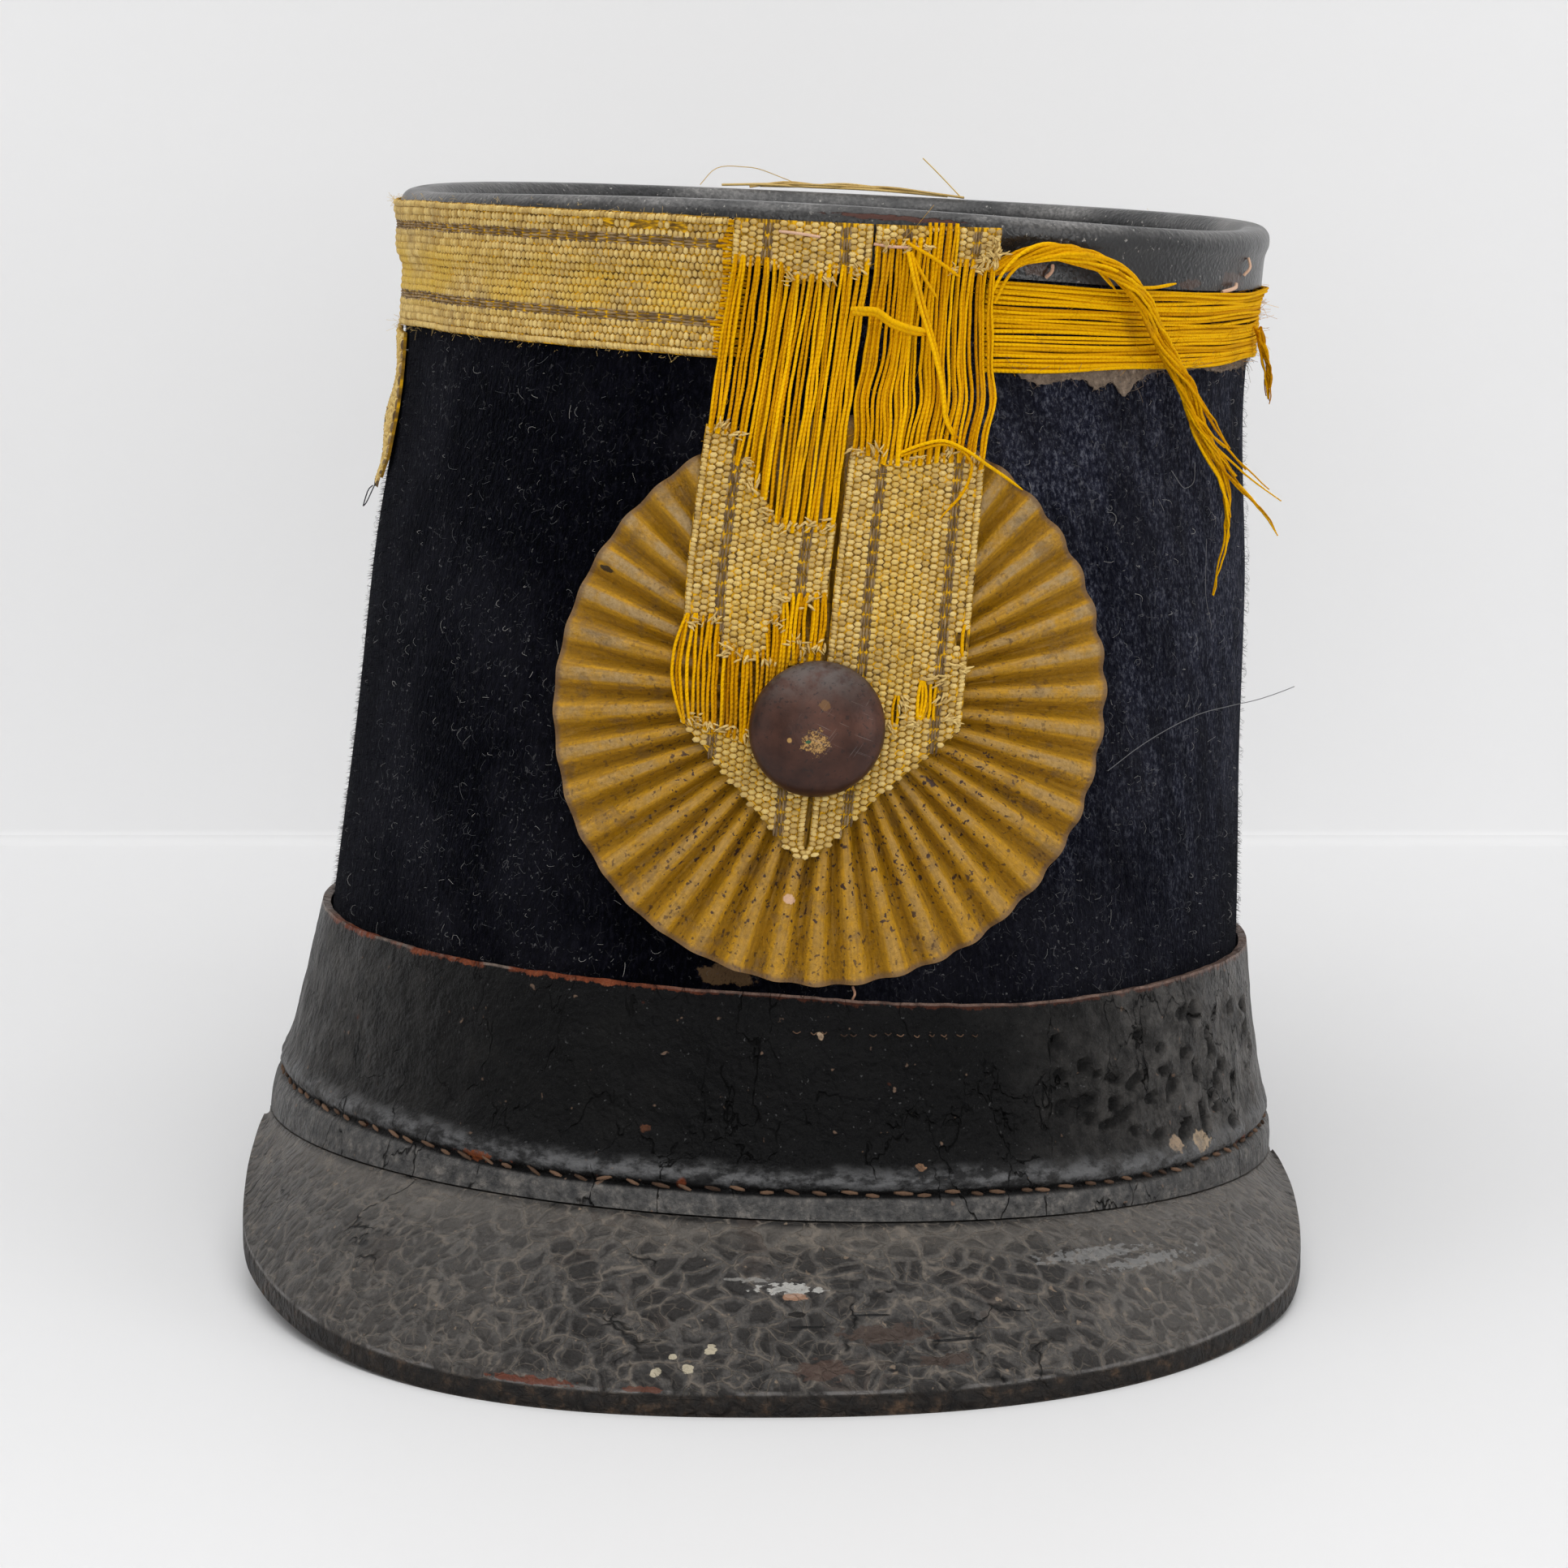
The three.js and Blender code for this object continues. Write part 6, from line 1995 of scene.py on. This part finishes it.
# %% Bare warp at the round braid's front end
paths, tints = [], []
for w in np.linspace(0.5, BRAID_WIDTH - 0.5, 38):
    s = np.linspace(BAND_LENGTH - straight(END_STEPS, w) - 1.5, BAND_LENGTH + 1.4, 8)
    gather = w + 0.25 * wave_noise(s, 0 * s + 5 * w, 131, 2, 4)
    angle = np.interp(s, ARC_LENGTH, ARC_ANGLE) + np.degrees(np.maximum(s - BAND_LENGTH, 0) / 74)
    height = braid_height(angle, gather)
    out = climb(angle, height) + 0.7 - 0.5 * smooth(s, BAND_LENGTH - 0.5, BAND_LENGTH + 3)
    paths.append(shell(angle, height, out))
    tints.append(RNG.uniform(0.2, 1))
yellow("braid_end_warp", paths, np.full(len(paths), 0.26), tints)

# %% [markdown]
# The fibres are placed on whatever carries them: along the loop, along the round braid's two
# edges, on the bare yarns, and as a few long single hairs caught in the wool.

# %% Fine fibres
FIBRES = 1200


def fibres(name, bases, lengths, material, radius):
    """A curled fibre from each point, in any direction that leads off the surface."""
    paths, t = [], np.linspace(0, 1, 4)[:, None]
    for base, length in zip(bases, lengths):
        out = base * (1, 1, 0) / np.linalg.norm(base[:2])
        heading = out * RNG.uniform(0.1, 0.7) + RNG.normal(0, 0.6, 3)
        heading = heading / np.linalg.norm(heading)
        paths.append(base + heading * length * t + RNG.normal(0, 0.35, 3) * length * t * t)
    return finish(tubes(name, paths, np.full(len(paths), radius), 3), material)


share, height = RNG.uniform(0, 1, FIBRES), RNG.uniform(60, 156, FIBRES)
on_left = RNG.uniform(size=FIBRES) < 0.5
places = [on_loop(strip_across(side, share, height), height, 1) for side in WOVEN]
bases = np.where(on_left[:, None], *places)
inside = np.where(on_left, *(inside_fold(side, share, height) for side in WOVEN))
fibres("loop_fibres", bases[inside], RNG.gamma(2, 0.6, FIBRES), yellow_yarn, 0.028)
s = RNG.uniform(0, BAND_LENGTH, FIBRES)
w = np.where(RNG.uniform(size=FIBRES) < 0.5, RNG.normal(0.1, 0.5, FIBRES), RNG.normal(21.4, 0.5, FIBRES))
fibres("braid_fibres", round_place(s, w, 0.8), RNG.gamma(2, 0.3, FIBRES), fray_paint, 0.022)
few = FIBRES // 2
bases = shell(RNG.uniform(20, 118, few), RNG.uniform(136, 148, few), 1.6)
fibres("side_warp_fibres", bases, RNG.gamma(2, 0.5, few), yellow_yarn, 0.028)


# %% Long hairs
def strands(name, table, stations, sides, material):
    """Single threads, each given by its radius and its rows of angle, height, out."""
    paths = [smooth_path(rows, stations)[0] for _, rows in table]
    return finish(tubes(name, paths, [radius for radius, _ in table], sides), material, angle=80)


HAIRS = [
    (0.07, [(41, 70.5, 0.6), (46, 73.9, 0.9), (53, 76.9, 1.2), (63, 78.4, 1.4), (76, 78, 2.5),
            (86, 79.3, 9)]),
    (0.11, [(-84.5, 108, 1.6), (-86.5, 104, 2.6), (-88.5, 103.2, 3), (-88, 106, 2.6), (-86.5, 107, 2)]),
    (0.06, [(52, 119, 0.6), (54.5, 116, 1.2), (57, 117, 1), (57.5, 120, 0.8)]),
    (0.05, [(31, 87, 0.4), (30.5, 97, 0.9), (34, 105, 0.5)]),
    (0.05, [(63, 92, 0.4), (60, 99, 0.9), (61, 107, 0.5)]),
]
strands("stray_hairs", HAIRS, 20, 5, lint_paint)


# %% Threads over the rear of the rim
def from_rim(stations):
    """Rows whose heights are given from the rim."""
    rows = np.array(stations, float)
    rows[:, 1] += rim_height(rows[:, 0])
    return rows


REAR_THREADS = [
    (0.22, [(196, 0.5, -1), (190, 0.9, -2), (183, 0.8, -1), (176, 0.9, -2), (168, 0.6, -1), (163, 0.3, 0)]),
    (0.2, [(194, 0.6, 0), (188, 1.1, -1), (181, 1.3, -2), (174, 1.2, -1), (166, 0.7, 0)]),
    (0.22, [(192, 0.4, -2), (186, 1.5, -1), (180, 1, 0), (172, 1.4, -1), (165, 0.8, -2), (160, 0.3, -2)]),
    (0.2, [(190, 0.5, 1), (184, 0.8, 0), (178, 1.6, 0), (171, 0.9, 1), (164, 0.4, 1)]),
    (0.08, [(199, 0.3, 0), (197, 3.2, 0), (192, 3.8, 1), (187, 2.2, 1), (184, 0.8, 1)]),
    (0.12, [(161, 0.2, 0), (163, 2.2, 1), (165.5, 4.8, 2), (167.5, 6.8, 3)]),
]
REAR_THREADS = [(radius, from_rim(stations)) for radius, stations in REAR_THREADS]
strands("rear_threads", REAR_THREADS, 20, 6, fray_paint)

# %% [markdown]
# ## Bared felt and small stitches
# Under the side warp the wool has lost its nap along a wavy line, and the grey-brown felt below
# shows. A few short stitches are left where the braid was once sewn on: three in the crown's skirt,
# two at the loop's top and one at the cockade's foot. Small dark ones follow the band's upper edge.

# %% Bared felt
FELT_FROM, FELT_TO, FELT_TOP = 23, 84, 137.5
FELT_EDGE = np.array([
    # angle, lower edge
    (23, 136), (24.3, 135.3), (25.8, 133.5), (27.4, 133.1), (29.2, 132.9), (31.6, 133.6), (34.9, 133.7),
    (37, 131.9), (38.6, 132.8), (40, 133.1), (41, 131.7), (42.1, 130.5), (43.1, 131.6), (44.2, 132.9),
    (46, 133.9), (48.1, 134.7), (58.9, 134.7), (64.1, 133.7), (75.8, 133.8), (84, 135.6),
])


def felt_edge(angle):
    ragged = 0.3 * wave_noise(angle, 0 * angle, 141, 4, 2.2) + 0.3 * wave_noise(angle, 0 * angle, 143, 3, 0.9)
    return straight(FELT_EDGE, angle) + ragged + 0.9


def felt_rule(u, v):
    angle = FELT_FROM + (FELT_TO - FELT_FROM) * u
    low = felt_edge(angle)
    out = 0.3 + 0.1 * wave_noise(angle * 1.3, low + 5 * v, 142, 3, 3)
    return shell(angle, low + (FELT_TOP - low) * v, out)


felt = thicken(wrap(cut_sheet("bared_felt", 180, 8), felt_rule, (80, 4)), 0.3)
felt_paint, shader, space, _ = new_material("grey_brown_felt", 0.1, 1)
fuzz = noise(space, 900, 5, 0.7)
colour = ramp(fuzz, [(0.3, 0.08, 0.06, 0.046), (0.55, 0.21, 0.16, 0.12), (0.75, 0.4, 0.31, 0.24)])
dress(shader, colour, fuzz, 0.0004)
finish(felt, felt_paint)
angle = RNG.uniform(FELT_FROM, FELT_TO, few)
bases = shell(angle, felt_edge(angle) + RNG.uniform(-0.2, 1.6, few), 0.7)
fibres("felt_fuzz", bases, RNG.gamma(2, 0.4, few), felt_paint, 0.03)

# %% Small stitches
SCRAPS = [
    (0.32, [(27.1, 151.2, 1.7), (27.5, 152.2, 2.5), (27.9, 153.2, 1.8)]),
    (0.34, [(60.9, 148.2, 1.6), (63, 148.8, 2.6), (65, 149.3, 1.8)]),
    (0.26, [(68.1, 150.6, 1.6), (68.6, 152, 2.4), (69, 153.5, 1.8)]),
    (0.25, [(-7.6, 157.4, 3.6), (-5, 157.2, 4.6), (-2.6, 156.8, 3.8)]),
    (0.25, [(4, 156, 3.6), (6.8, 155.7, 4.6), (9.6, 155.8, 3.8)]),
    (0.2, [(7.6, 36.6, 0.6), (7.8, 35.6, 1.5), (7.6, 34.5, 0.9)]),
]
pink_thread = thread_material("pink_thread", (0.42, 0.22, 0.14), (0.72, 0.48, 0.34))
strands("old_stitches", SCRAPS, 10, 6, pink_thread)
UPPER_STITCHES = []
for turn in np.arange(0.9, 22, 1.75) + RNG.normal(0, 0.15, 13):
    high, long = 29.3 + RNG.normal(0, 0.12), RNG.uniform(0.5, 0.9)
    rows = [(turn, high, 2.6), (turn + long / 2, high - 0.25, 3), (turn + long, high, 2.6)]
    UPPER_STITCHES.append((0.1, rows))
strands("upper_stitches", UPPER_STITCHES, 6, 5, brown_thread)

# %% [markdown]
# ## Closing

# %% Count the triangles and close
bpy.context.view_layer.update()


def plain(box):
    return [[float(v) for v in corner] for corner in box]


meshes = [o.data for o in SCENE.objects if o.type == "MESH"]
print("triangles in all:", sum(len(face.vertices) - 2 for mesh in meshes for face in mesh.polygons))
